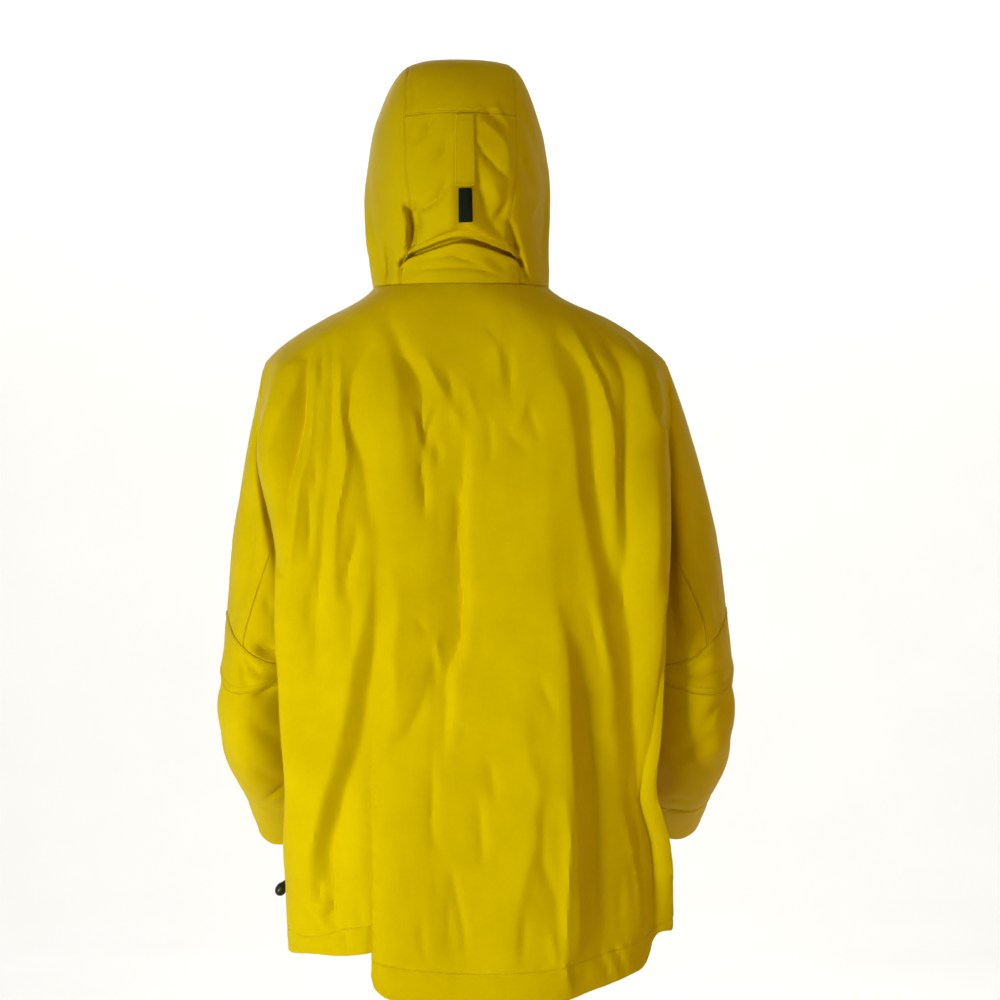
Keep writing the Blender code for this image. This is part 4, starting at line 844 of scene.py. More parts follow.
HOOD_FOLDS = {
    "back": [
        (-5, 3, 3, [(35, 174), (41, 166), (45, 156), (54, 144)]),
        (-6, 5, 5, [(15, 149), (21, 143), (26, 133), (31, 121)]),
        (-5, 3, 3, [(-8, 142), (-18, 130), (-29, 117), (-43, 103)]),
        (6, 10, 5, [(-15, 167), (-27, 157), (-37, 143), (-42, 125), (-42, 105)]),
        (-5, 4, 4, [(-21, 177), (-26, 168), (-33, 160), (-39, 149)]),
        (-4, 3, 3, [(-36, 187), (-38, 176), (-44, 164)]),
        (3.5, 3, 3, [(-32, 181), (-40, 168), (-42, 155)]),
        (9, 34, 7, [(15, 99), (13, 82), (12, 62), (16, 44)]),
        (-8, 9, 8, [(-13, 103), (-17, 82), (-23, 64), (-33, 50), (-41, 43)]),
        (5, 9, 9, [(-24, 106), (-30, 92), (-36, 78)]),
        (4, 6, 6, [(-2, 98), (-3, 75), (-6, 52)]),
        (-3, 2, 2, [(50, 13), (30, 20), (10, 21), (-8, 16), (-26, 8)]),
        (-3, 2, 2, [(60, 4), (40, 8), (18, 9), (-10, 9), (-34, 4), (-52, -4)]),
        (-5, 6, 6, [(-24, 23), (-36, 15), (-47, 7)]),
        (4, 3, 4, [(68, 28), (72, 12), (78, -7)]),
        (-7, 5, 6, [(-46, 79), (-41, 68), (-34, 57)]),
        (-4, 4, 4, [(-58, 180), (-68, 158), (-75, 138), (-80, 118)]),
        (-4, 5, 4, [(-58, 134), (-64, 116), (-72, 100), (-79, 86)]),
        (3, 3, 3, [(-81, 84), (-74, 70), (-65, 56)]),
        (-2.4, 3, 3, [(55, 208), (57, 192)]),
    ],
    "left": [
        (-3.5, 9, 11, [(30, 54), (36, 20), (40, -6)]),
        (3, 12, 12, [(0, 120), (10, 70), (12, 30)]),
        (-2.6, 9, 8, [(-30, 150), (-22, 100), (-26, 50)]),
        (-2.4, 8, 8, [(-70, 170), (-40, 190), (0, 196)]),
    ],
    "right": [
        (3, 12, 12, [(4, 130), (14, 80), (10, 30)]),
        (-3.2, 9, 9, [(30, 100), (24, 60), (34, 20)]),
        (-2.6, 8, 9, [(-34, 140), (-24, 90), (-30, 40)]),
        (-2.4, 8, 8, [(-66, 176), (-34, 194), (6, 190)]),
    ],
}
LEFT_SLEEVE_FOLDS = {
    "back": [
        (-6, 5, 5, [(243, -419), (236, -428), (227, -438)]),
        (-5, 4, 5, [(251, -423), (247, -434), (243, -448)]),
        (5, 8, 9, [(238, -436), (226, -442), (212, -441)]),
        (-7, 5, 5, [(233, -460), (222, -454), (211, -447)]),
        (-5, 3, 3, [(203, -561), (215, -570), (229, -584)]),
        (-4, 3, 3, [(218, -346), (217, -356), (217, -366)]),
        (-3, 12, 12, [(238, -240), (242, -300), (248, -350)]),
    ],
    "left": [
        (-4, 12, 11, [(40, -240), (44, -320), (30, -380)]),
        (4, 13, 12, [(-20, -250), (-10, -340), (-22, -420)]),
        (-5, 10, 12, [(-50, -430), (-20, -452), (20, -446)]),
        (-4, 10, 10, [(-64, -480), (-34, -500), (0, -500)]),
        (-4, 9, 9, [(-100, -520), (-70, -548), (-46, -560)]),
    ],
    "front": [
        (-6, 11, 10, [(250, -430), (226, -444), (200, -440)]),
        (-6, 10, 11, [(256, -470), (226, -480), (196, -470)]),
        (4, 10, 10, [(250, -400), (222, -410), (196, -400)]),
        (-4, 10, 10, [(210, -250), (228, -320), (236, -380)]),
    ],
}
RIGHT_SLEEVE_FOLDS = {
    "back": [
        (-4.5, 5, 6, [(-266, -398), (-258, -408), (-248, -424)]),
        (-4, 5, 5, [(-224, -434), (-250, -437), (-270, -434), (-282, -427)]),
        (4, 12, 12, [(-258, -322), (-266, -350), (-270, -380)]),
        (4, 9, 9, [(-244, -412), (-264, -418), (-286, -410)]),
        (-5.5, 5, 6, [(-288, -460), (-275, -475), (-261, -494)]),
        (-3.5, 5, 5, [(-294, -464), (-287, -477), (-279, -493)]),
        (-3, 6, 5, [(-222, -526), (-250, -516), (-270, -507), (-297, -497)]),
        (4, 14, 9, [(-238, -538), (-256, -527), (-276, -518), (-296, -508)]),
        (-4, 3, 3, [(-222, -585), (-240, -583), (-258, -591)]),
        (-3.5, 3, 3, [(-222, -597), (-236, -597), (-248, -596)]),
    ],
    "right": [
        (-4, 11, 12, [(36, -240), (42, -330), (28, -390)]),
        (4, 12, 13, [(-24, -250), (-14, -350), (-24, -430)]),
        (-5, 12, 10, [(-48, -436), (-16, -456), (24, -444)]),
        (-4, 10, 10, [(-62, -486), (-30, -506), (4, -506)]),
        (-4, 9, 9, [(-102, -524), (-72, -550), (-48, -562)]),
    ],
    "front": [
        (-6, 10, 11, [(-266, -434), (-242, -448), (-214, -440)]),
        (-6, 11, 10, [(-272, -474), (-242, -484), (-210, -474)]),
        (4, 10, 10, [(-264, -404), (-238, -414), (-210, -404)]),
        (-4, 10, 10, [(-222, -250), (-240, -320), (-250, -380)]),
    ],
}
CRUMPLE, HOOD_CRUMPLE = 0.85, 0.765  # height of the small unevenness all over, mm
NECK_FADE = 38.0  # the folds die away over this distance to the neck seam
WALL, HEM_WALL = 1.6, 2.4  # thickness drawn for the cloth and the turned-up hem
CRUMPLE_SEEDS = {"body": 20, "hood": 60, "sleeve": 90, "tab": 120}


def body_relief(points, out, drop):
    fade = ease(np.clip((drop - NECK_DROP) / NECK_FADE, 0, 1))
    relief = fold_relief(points, out, BODY_FOLDS) + crumple(points, CRUMPLE, CRUMPLE_SEEDS["body"])
    return relief * fade


# Deep folds that push the cloth towards the front: depth, widths left and right, line (x, z).
BODY_TUCKS = [
    (20, 6, 6, [(231, -150), (229, -180), (226, -210), (221, -245), (215, -275), (208, -303), (204, -320)]),
    (20, 7, 7, [(-221, -92), (-222, -130), (-222, -150), (-222, -200), (-222, -250), (-222, -290),
                (-220, -330)]),
    (16, 10, 10, [(206, -636), (204, -662), (202, -688)]),
]
SLEEVE_TUCKS = [
    (11, 9, 9, [(232, -403), (222, -407), (208, -406)]),
    (20, 22, 60, [(206, -440), (207, -480), (206, -510), (203, -545), (200, -580)]),
    (5, 9, 9, [(236, -486), (226, -500), (210, -506)]),
    (5, 9, 9, [(236, -541), (226, -552), (208, -560)]),
    (14, 6, 40, [(209, -592), (208, -610), (204, -628)]),
    (20, 40, 6, [(-225, -262), (-226, -310), (-225, -350), (-230, -385), (-230, -408)]),
    (12, 60, 16, [(-218, -436), (-219, -480), (-216, -524)]),
    (14, 60, 8, [(-214, -536), (-219, -560), (-212, -584)]),
]
HOOD_TUCKS = [
    (22, 4, 7, [(66, 79), (62, 70), (60, 56), (61, 38)]),
    (17, 6, 4, [(54, 78), (52, 68), (51, 54)]),
    (11, 4, 6, [(60, 54), (61, 40), (66, 20), (74, 0)]),
    (15, 3.5, 4, [(-46, 58), (-50, 44), (-54, 30), (-59, 14), (-65, -4)]),
    (9, 4, 5, [(67, 76), (50, 74), (36, 77), (27, 86), (20, 101)]),
    (12, 4, 5, [(89, 47), (88, 22), (89, -14)]),
]


def tuck(points, tucks, near=25):
    """How far the deep folds push the cloth towards the front."""
    push = np.zeros(points.shape[:-1])
    for depth, left, right, line in tucks:
        shape, along = ridge(points[..., 0], points[..., 2], left, right, line, TUCK_EDGE)
        push += depth * np.sin(np.pi * np.clip(0.05 + 0.9 * along, 0, 1)) ** 0.6 * shape
    return push * np.clip((points[..., 1] - near) / 30, 0, 1)


# How fine the body's sheets are: rows a step apart in mm, or columns for each place.
BACK_STEP, FRONT_STEP, HEM_STEP = 3.5, 5.0, 4.0
BACK_COLUMNS, TAIL_COLUMNS, SIDE_COLUMNS = 36, 28, 26
VENT_SINK = 4.0  # how far the side's hem sinks under the tail at the vent, mm


def body_sheet(body, place, drop):
    base, out = body.point(place, drop), body.normal(place, drop)
    made = Sheet(base, out)
    made.lift(body_relief(base, out, drop))
    made.points[..., 1] -= tuck(base, BODY_TUCKS)
    return made


def armhole_edge(drop, reach):
    """Place of a panel's edge on the back's side of the armhole, or of the side seam below it."""
    away = armhole_place(drop, reach)
    return np.where((drop < SHOULDER_DROP) | (drop > UNDERARM_DROP), 0, away)


def panel_drops(bottom, kind, step):
    """Depths of a body panel's rows, a column of them for each value of bottom."""
    shoulder = SHOULDER_DROP - NECK_DROP
    neck = NECK_DROP + shoulder * spread([shoulder], step, (SEAM_LINES, [0]))
    turns = int(ARMHOLE_RIM / step) + 1
    armhole = ARMHOLE_MIDDLE - ARMHOLE_HALF * np.cos(np.linspace(0, math.pi, turns))
    upper = np.concatenate([neck[0][:-1], armhole[:-1]])
    share = spread(bottom - UNDERARM_DROP, step, ([0], LINES[kind])).T
    lower = UNDERARM_DROP + (bottom - UNDERARM_DROP)[None, :] * share
    return np.concatenate([np.broadcast_to(upper[:, None], (len(upper), len(bottom))), lower])


def by_arc(form, start, end, level, width_step, near, samples=41):
    """Places from start to end on each row, in even steps measured over the surface."""
    t = np.linspace(0, 1, samples)[None, :]
    place = start[:, None] + (end - start)[:, None] * t
    rows = np.broadcast_to(level[:, None], place.shape)
    arc = distance_along(form.point(place, rows), 1)
    share = spread(arc[:, -1], width_step, near)
    return np.array([np.interp(s * a[-1], a, p) for s, a, p in zip(share, arc, place)])


def back_cloth(body):
    """The wide back.  Its hem's edge steps up at the vent, on the wearer's left."""
    step = 1 / BACK_COLUMNS
    inner = np.arange(-2.8, 2.81, step)
    inner = inner[np.abs(inner - VENT_PLACE) > 0.6 * step]
    inner = np.sort(np.append(inner, [VENT_PLACE - VENT_SLIT, VENT_PLACE + VENT_SLIT]))
    near = np.array(SEAM_LINES) / SIDE_BREADTH
    nominal = np.concatenate([-SIDE + near, inner, (SIDE - near)[::-1]])
    bottom = np.where(nominal < VENT_PLACE, smooth(TAIL_BAND, nominal), smooth(SIDE_BAND, nominal))
    drop = panel_drops(bottom, "fold", BACK_STEP)
    edge = SIDE - armhole_edge(drop, ARMHOLE_BACK)
    beyond = np.clip(np.abs(nominal) - STILL_PLACES, 0, None)[None, :]
    place = np.minimum(np.abs(nominal), STILL_PLACES)[None, :]
    place = place + beyond * (edge - STILL_PLACES) / (SIDE - STILL_PLACES)
    place = place * np.sign(nominal)[None, :]
    made = body_sheet(body, place, drop)
    made.finish_edges({"left": "seam", "right": "seam", "top": "neck", "bottom": "fold"})
    return made


def front_cloth(body, side):
    band = FRONT_BAND if side > 0 else FRONT_BAND_RIGHT
    bottom = smooth(band, np.linspace(SIDE, FRONT, 5))
    level = panel_drops(np.full(1, bottom.mean()), "fold", FRONT_STEP)[:, 0]
    start = SIDE + armhole_edge(level, ARMHOLE_FRONT)
    end = FRONT - FRONT_EDGE / front_breadth(body, level)
    place = by_arc(body, start, end, level, FRONT_STEP, (SEAM_LINES, LAP_LINES))
    hem = smooth(band, place[-1])
    lower = np.clip((level - UNDERARM_DROP) / (level[-1] - UNDERARM_DROP), 0, 1)[:, None]
    drop = level[:, None] + (hem[None, :] - level[-1]) * lower
    made = body_sheet(body, side * place, drop)
    made.finish_edges({"left": "seam", "right": "lap", "top": "neck", "bottom": "fold"})
    return made


def hem_cloth(body, place, top, end, sides, step):
    """A band of turned-up hem between two depths for each place."""
    share = spread(end - top, step, (SEAM_LINES, RIM_LINES)).T
    drop = top[None, :] + (end - top)[None, :] * share
    made = body_sheet(body, np.broadcast_to(place, drop.shape), drop)
    made.finish_edges(dict(sides, top="fold", bottom="free"), pucker=0.9)
    if VENT_PLACE - VENT_TUCK <= place[0] < VENT_PLACE:  # this end lies under the tail
        under = np.clip((VENT_PLACE + 0.03 - place) / 0.05, 0, 1)
        made.lift(np.broadcast_to(-VENT_SINK * under, drop.shape))
    return made


def hem_bands(body):
    """Name and sheet of each of the turned-up hems, all round."""
    side_near, vent_near = np.array(SEAM_LINES) / SIDE_BREADTH, np.array(SEAM_LINES) / VENT_BREADTH
    vent_edge = VENT_PLACE - VENT_SLIT
    tail = np.unique(np.round(np.concatenate([
        -SIDE + side_near, np.arange(-SIDE, VENT_PLACE, 1 / TAIL_COLUMNS)[8:],
        np.linspace(-1.95, -1.6, 30), np.linspace(0.78, vent_edge - 0.02, 8),  # its two turns
        vent_edge - vent_near[:5]]), 5))
    tail = tail[tail <= vent_edge + 1e-4]
    beside = np.unique(np.round(np.concatenate([
        VENT_PLACE - VENT_TUCK + vent_near, np.arange(VENT_PLACE, 2.9, 1 / SIDE_COLUMNS),
        SIDE - side_near]), 5))
    bands = [("hem_tail", hem_cloth(body, tail, smooth(TAIL_BAND, tail), smooth(TAIL_HEM, tail),
                                    {"left": "seam", "right": "free"}, HEM_STEP)),
             ("hem_side_left", hem_cloth(body, beside, smooth(SIDE_BAND, beside), smooth(SIDE_HEM, beside),
                                         {"left": "free", "right": "seam"}, HEM_STEP))]
    fronts = ((FRONT_BAND, FRONT_HEM), (FRONT_BAND_RIGHT, FRONT_HEM_RIGHT))
    for (side, hand), (top, end) in zip(SIDES, fronts):
        level = np.array([smooth(top, 4.0)])
        stop = FRONT - FRONT_EDGE / front_breadth(body, level)
        place = by_arc(body, np.array([float(SIDE)]), stop, level, FRONT_STEP, (SEAM_LINES, LAP_LINES))[0]
        sheet = hem_cloth(body, side * place, smooth(top, place), smooth(end, place),
                          {"left": "seam", "right": "lap"}, FRONT_STEP)
        bands.append(("hem_front_" + hand, sheet))
    return bands


# ------------ the hood
# The hanging fold over the nape: level from its lip, how far in and how far down, mm.
OVERHANG = [(-1.7, 17, 20), (-1.1, 13, 12), (-0.92, 11, 8.5), (-0.82, 12, 7), (-0.6, 24, 5),
            (-0.42, 26, 2), (-0.3, 22, 1), (-0.12, 5, 0.5), (0, 0.6, 0.3), (0.12, 0, -2),
            (0.35, -2.5, -7), (0.9, -6, -20)]
OVERHANG_REACH = [(-1.7, 0), (-1.1, 1), (0.2, 1), (0.9, 0)]  # the share of it, by level
# How far its lip is above the plain form, by place.
LIP_LIFT = [(0, 14), (0.2, 13), (0.4, 8), (0.8, -3), (1.0, 2), (1.4, 3)]
HOOD_STEP = 2.7  # its mesh's lines are this far apart, mm


def hood_relief(points, out):
    return fold_relief(points, out, HOOD_FOLDS) + crumple(points, HOOD_CRUMPLE, CRUMPLE_SEEDS["hood"])


def hood_surface(hood, place, level):
    """The hood's form with the fold that hangs over the nape, and the share of that fold."""
    plain = hood.point(place, level)
    side = np.clip(np.abs(place), 0, 1.4)
    lip_level = 3.0 - 1.5 * side ** 2 * np.where(side > 1, 1 / side ** 2, 1)
    lip = hood.point(place, lip_level)
    away = level - lip_level
    keys, depths, drops = (np.array(column, float) for column in zip(*OVERHANG))
    fold = lip.copy()
    fold[..., 1] -= np.interp(away, keys, depths)
    fold[..., 2] += smooth(LIP_LIFT, side) - np.interp(away, keys, drops)
    fold[..., 0] = plain[..., 0]
    share = ease(np.interp(away, *zip(*OVERHANG_REACH)) * np.clip((1.2 - side) / 0.4, 0, 1))
    return plain + (fold - plain) * share[..., None], share


def hood_cloth(body, hood, side, start, end, first_row, last_row, kinds, top_lines, end_lines):
    """A panel of the hood between two lines across it and two rows up it."""
    samples = np.linspace(first_row, last_row, 240)
    lanes, rows = np.meshgrid(side * np.linspace(start, end, 7), samples)
    swept = hood_surface(hood, lanes, rows)[0]
    arc = np.linalg.norm(np.diff(swept, axis=0), axis=-1).max(axis=1).cumsum()
    arc = np.concatenate([[0], arc])
    share = spread([arc[-1]], HOOD_STEP, (top_lines, end_lines))[0]
    level = np.interp(share * arc[-1], arc, samples)
    near = (LINES[kinds["left"]], LINES[kinds["right"]])
    first, last = (np.full(len(level), float(line)) for line in (start, end))
    place = side * by_arc(hood, first, last, level, HOOD_STEP, near)
    rows = np.broadcast_to(level[:, None], place.shape)
    base, out = hood.point(place, rows), hood.normal(place, rows)
    formed, hung = hood_surface(hood, place, rows)
    below = np.interp(np.abs(place), range(5), HOOD_PLACES) * np.sign(place)
    to_neck = 1 - ease(np.clip(rows, 0, 1))
    made = Sheet(formed + (body.point(below, NECK_DROP) - hood.point(place, 0)) * to_neck[..., None], out)
    fade = ease(np.clip(rows / 0.8, 0, 1)) * (1 - 0.8 * hung)
    made.lift(hood_relief(base, out) * fade)
    made.points[..., 1] -= tuck(formed, HOOD_TUCKS, -20) * np.clip(out[..., 1] * 2, 0, 1) * (1 - hung)
    made.finish_edges(kinds, pucker=0.6)
    return made


def hood_panels(body, hood):
    """Name and sheet of each panel of the hood; the top of each sheet is its lower edge."""
    edge = HOOD_FACE - FRONT_EDGE / float(front_breadth(body, NECK_DROP))
    found = [("hood_back", hood_cloth(body, hood, 1, -1, 1, 0, CROWN_SEAM_ROW, {
                 "left": "lap_single", "right": "lap_single", "top": "neck", "bottom": "under"},
                 SEAM_LINES, SEAM_LINES)),
             ("hood_crown", hood_cloth(body, hood, 1, -1, 1, CROWN_SEAM_ROW, HOOD_LAST_ROW, {
                 "left": "lap_single", "right": "lap_single", "top": "lap_single", "bottom": "free"},
                 LAP_LINES, SEAM_LINES))]
    for side, hand in SIDES:
        found.append(("hood_side_" + hand, hood_cloth(body, hood, side, 1, edge, 0, HOOD_LAST_ROW, {
            "left": "under", "right": "free", "top": "neck", "bottom": "free"}, SEAM_LINES, SEAM_LINES)))
    return found


def hood_strip(hood, width, top_row, end_row, thickness, step, flare=0.0):
    """A strip on the back of the hood, standing just clear of it; thickness is its stand-off."""
    level = np.linspace(top_row, end_row, 60)
    arc = distance_along(hood.point(np.zeros(60), level))
    share = spread([arc[-1]], step, (RIM_LINES, RIM_LINES))[0]
    level = np.interp(share * arc[-1], arc, level)
    per_place = np.linalg.norm(hood.point(0.1, level) - hood.point(-0.1, level), axis=-1) / 0.2
    half = (width + flare * (top_row - level)) / 2
    across = spread([width], step, (RIM_LINES, RIM_LINES))[0] * 2 - 1
    place = (across[None, :] * half[:, None] + TAB_ASIDE) / per_place[:, None]
    rows = np.broadcast_to(level[:, None], place.shape)
    base, out = hood.point(place, rows), hood.normal(place, rows)
    made = Sheet(base + out * (thickness + TAB_STAND), out)
    under = hood_relief(base, out)
    made.lift(0.5 * under + 0.5 * under.mean(axis=1, keepdims=True) + TAB_STAND)
    return made


# ------------ the sleeves
def column_angle(column, row):
    """Angle round the arm of a lengthways line; the rear seam's lines swing outwards lower down."""
    angle = np.asarray(column, float) * 180 / ARMHOLE_STEPS
    swing = ease(np.clip(np.asarray(row, float) / SWING_ROWS, 0, 1))
    rear, front = SLEEVE_SEAMS
    rear_there = rear + (REAR_SEAM_AT_ELBOW - rear) * swing
    swung = np.where(angle <= rear, angle * rear_there / rear,
                     rear_there + (angle - rear) * (front - rear_there) / (front - rear))
    return np.where(angle <= front, swung, angle)


def seam_level(table, angle):
    """Row of a seam that runs round the sleeve."""
    ring = [(a - 360, r) for a, r in table[-2:]] + table + [(a + 360, r) for a, r in table[:2]]
    return smooth(ring, np.mod(angle, 360))


def sleeve_cloth(body, sleeve, side, columns, top, end, kinds, tube=False):
    """Part of a sleeve between two levels, one for each lengthways line."""
    t = np.linspace(0, 1, 33)[:, None]
    row = top[None, :] + (end - top)[None, :] * t
    angle = column_angle(columns[None, :], row)
    arc = distance_along(sleeve.point(angle * RING_POINTS / 360, row))
    near = (LINES[kinds["top"]], LINES[kinds["bottom"]])
    share = spread(np.full(len(columns), arc[-1].mean()), SLEEVE_STEP, near)
    row = np.array([np.interp(s * a[-1], a, r) for s, a, r in zip(share, arc.T, row.T)]).T
    angle = column_angle(columns[None, :], row)
    place = angle * RING_POINTS / 360
    base, out = sleeve.point(place, row), sleeve.normal(place, row)
    made = Sheet(base, out, tube)
    fade = ease(np.clip(row / 0.5, 0, 1))
    folds = LEFT_SLEEVE_FOLDS if side > 0 else RIGHT_SLEEVE_FOLDS
    made.lift((fold_relief(base, out, folds) + crumple(base, CRUMPLE, CRUMPLE_SEEDS["sleeve"])) * fade)
    edge_place, edge_drop = armhole_point(angle, side)  # follow the body's folds
    on_edge, out_edge = body.point(edge_place, edge_drop), body.normal(edge_place, edge_drop)
    lifted = out_edge * body_relief(on_edge, out_edge, edge_drop)[..., None]
    made.points = made.points + lifted * (1 - fade)[..., None]
    made.points[..., 1] -= tuck(base, BODY_TUCKS) + tuck(base, SLEEVE_TUCKS, -60)
    made.finish_edges(kinds, pucker=0.6)
    return made


def sleeve_panels(body, sleeve, side):
    """Name and sheet of each piece of one sleeve."""
    hand = "left" if side > 0 else "right"
    rear, front = (a * ARMHOLE_STEPS / 180 for a in SLEEVE_SEAMS)
    round_arm = 2 * ARMHOLE_STEPS

    def level(table, columns):
        return seam_level(table, column_angle(columns, ELBOW_ROW))

    found = []
    for name, start, end, kind in (("upper", front - round_arm, rear, "lap_single"),
                                   ("under", rear, front, "under")):
        share = spread([(end - start) * COLUMN_BREADTH], SLEEVE_STEP, (LINES[kind], LINES[kind]))[0]
        columns = start + (end - start) * share
        wrapped = np.where(columns < 0, columns + round_arm, columns)
        ends = level(ELBOW_TOP, wrapped)
        kinds = {"left": kind, "right": kind, "top": "seam", "bottom": "under"}
        found.append(("sleeve_%s_%s" % (name, hand),
                      sleeve_cloth(body, sleeve, side, wrapped, ends * 0, ends, kinds)))
    ring = np.arange(0, round_arm, round_arm / TUBE_COLUMNS)
    top, end = level(ELBOW_TOP, ring), level(ELBOW_END, ring)
    for name, above, below, kinds in (
            ("elbow", top, end, {"top": "lap", "bottom": "lap"}),
            ("forearm", end, end * 0 + CUFF_ROW, {"top": "under", "bottom": "under"}),
            ("cuff", end * 0 + CUFF_ROW, end * 0 + SLEEVE_END_ROW,
             {"top": "lap_single", "bottom": "free"})):
        found.append(("sleeve_%s_%s" % (name, hand),
                      sleeve_cloth(body, sleeve, side, ring, above, below, kinds, tube=True)))
    return found


# ------------ stitches
# A stitch from end to end: place along it, height over the cloth and swelling, as shares.
STITCH_BULGE = [(-1, -0.5, 0.35), (-0.55, 0.35, 0.9), (0, 0.6, 1), (0.55, 0.35, 0.9), (1, -0.5, 0.35)]


def stitches(name, lines, finish, pitch=3.3, length=2.4, radius=0.3):
    """Rows of stitches, each a short round thread that dips into the cloth at its two ends."""
    turn = full_turn(5)
    quads = ring_quads(len(STITCH_BULGE), len(turn))
    points, faces = [], []
    for line, ways in lines:
        run = distance_along(line)
        at = np.arange(pitch / 2, run[-1] - pitch / 2, pitch)
        centre, ahead, way = (np.stack([np.interp(where, run, table[:, i]) for i in range(3)], axis=1)
                              for where, table in ((at, line), (at + 1, line), (at, ways)))
        along = ahead - centre
        along /= np.linalg.norm(along, axis=1, keepdims=True) + 1e-9
        across = np.cross(way, along)
        across /= np.linalg.norm(across, axis=1, keepdims=True) + 1e-9
        ring = []
        for shift, height, swell in STITCH_BULGE:
            base = centre + along * shift * length / 2 + way * height * radius
            for t in turn:
                ring.append(base + (across * math.cos(t) + way * math.sin(t)) * radius * swell)
        ring = np.stack(ring, axis=1)
        start = sum(len(p) for p in points) + np.arange(len(at)) * ring.shape[1]
        points.append(ring.reshape(-1, 3))
        faces.append((quads[None] + start[:, None, None]).reshape(-1, 4))
    return mesh_piece(name, np.concatenate(points), np.concatenate(faces), finish, ROUND_ANGLE)


# ------------ the zip, the adjuster and the toggle
def front_breadth(body, drop):
    """Millimetres across the front for one place near its middle."""
    step = 0.05
    return np.linalg.norm(body.point(FRONT, drop) - body.point(FRONT - step, drop), axis=-1) / step


def zip_tape(body, inner, outer, sink):
    """A straight strip down the front between two distances from its middle, left positive."""
    drop = np.linspace(NECK_DROP + TAPE_ENDS, FRONT_HEM[-1][1] - TAPE_ENDS, 180)
    share = np.array([0, 0.06, 0.14, 0.32, 0.5, 0.68, 0.86, 0.94, 1.0])
    offset = inner + 0.15 + (outer - inner - 0.3) * share
    place = FRONT - offset[None, :] / front_breadth(body, drop)[:, None]
    level = np.broadcast_to(drop[:, None], place.shape)
    base, out = body.point(place, level), body.normal(place, level)
    return Sheet(base - out * (sink + 0.05), out)


def sweep(points, up, radius, sides, squash=1.0):
    """Points and faces of a round bar along a line; up is a way across it at each point."""
    along = np.gradient(points, axis=0)
    along /= np.linalg.norm(along, axis=1, keepdims=True)
    across = np.cross(along, up)
    across /= np.linalg.norm(across, axis=1, keepdims=True)
    over = np.cross(across, along)
    turn = full_turn(sides)
    ring = (points[:, None] + across[:, None] * (np.cos(turn) * radius)[None, :, None]
            + over[:, None] * (np.sin(turn) * radius * squash)[None, :, None])
    return ring.reshape(-1, 3), ring_quads(len(points), sides)


def several(name, parts, finish):
    """One object from several sweeps of points and faces."""
    before = np.cumsum([0] + [len(points) for points, quads in parts])
    return mesh_piece(name, np.concatenate([points for points, quads in parts]),
                      np.concatenate([quads + count for (points, quads), count in zip(parts, before)]),
                      finish, ROUND_ANGLE)


def coil(body, finish, pitch=1.9, reach=1.55, depth=0.75, wire=0.36):
    """Two flattened spirals of nylon that hold each other down the middle of the front."""
    length = FRONT_HEM[-1][1] - NECK_DROP
    turns = int(length / pitch) - 2
    spirals = []
    for side, lag in ((1, 0.0), (-1, 0.5)):
        t = np.arange(turns * 7 + 1) / 7
        drop = NECK_DROP + 3 + (t + lag) * pitch
        across = side * (0.55 + reach * 0.62 * np.cos(2 * math.pi * t))
        height = -COIL_SINK + 1.15 + depth * np.sin(2 * math.pi * t)
        place = FRONT - across / front_breadth(body, drop)
        base, out = body.point(place, drop), body.normal(place, drop)
        spirals.append(sweep(base + out * height[:, None], out, wire, 5))
    return several("zip_coil_teeth", spirals, finish)


class Spot:
    """A place on the front with its own directions: across, down and out."""

    def __init__(self, body, place, drop):
        self.centre = body.point(place, drop)
        self.out = body.normal(place, drop)
        down = body.point(place, drop + 1) - body.point(place, drop - 1)
        self.down = down / np.linalg.norm(down)
        self.across = np.cross(self.out, self.down)

    def at(self, across, down, out):
        across, down, out = (np.asarray(v, float)[..., None] for v in (across, down, out))
        return self.centre + self.across * across + self.down * down + self.out * out


def rounded(width, start, end, corner, count=40):
    """Outline of a rounded plate, down from start to end.  A corner of 2 is an oval, more is squarer."""
    angle = full_turn(count)
    x, y = np.cos(angle), np.sin(angle)
    reach = (np.abs(x) ** corner + np.abs(y) ** corner) ** (-1 / corner)
    return np.stack([width / 2 * x * reach, (start + end) / 2 + (end - start) / 2 * y * reach], axis=1)


def plate(spot, outline, low, high, hole=None, edge=0.45):
    """A plate with rounded edges between two heights, with or without a hole through it."""
    middle = outline.mean(axis=0) if hole is None else hole
    middle = np.broadcast_to(middle, outline.shape)
    inward = middle - outline
    inward = inward / np.linalg.norm(inward, axis=1, keepdims=True)
    turn = np.linspace(0, math.pi / 2, 4)
    rows = [(outline + inward * edge * (1 - math.cos(t)), high - edge * (1 - math.sin(t))) for t in turn]
    rows = [(outline, low + edge)] + rows
    rows.insert(0, (outline + inward * edge, low))
    if hole is None:
        rows.append((outline * 0.4 + middle * 0.6, high + 0.12))
    else:
        rim = hole - inward * edge
        rows += [(rim, high), (hole, high - edge), (hole, low + edge), (rim, low)]
    count = len(outline)
    points = np.concatenate([spot.at(p[:, 0], p[:, 1], np.full(count, h)) for p, h in rows])
    faces = ring_quads(len(rows), count, closed=hole is not None).tolist()
    if hole is None:
        for first, turned in ((0, 1), (len(points) - count, -1)):
            faces += [[first + j, first + j + 1, first + count - 2 - j, first + count - 1 - j][::turned]
                      for j in range(count // 2 - 1)]
    return points, faces


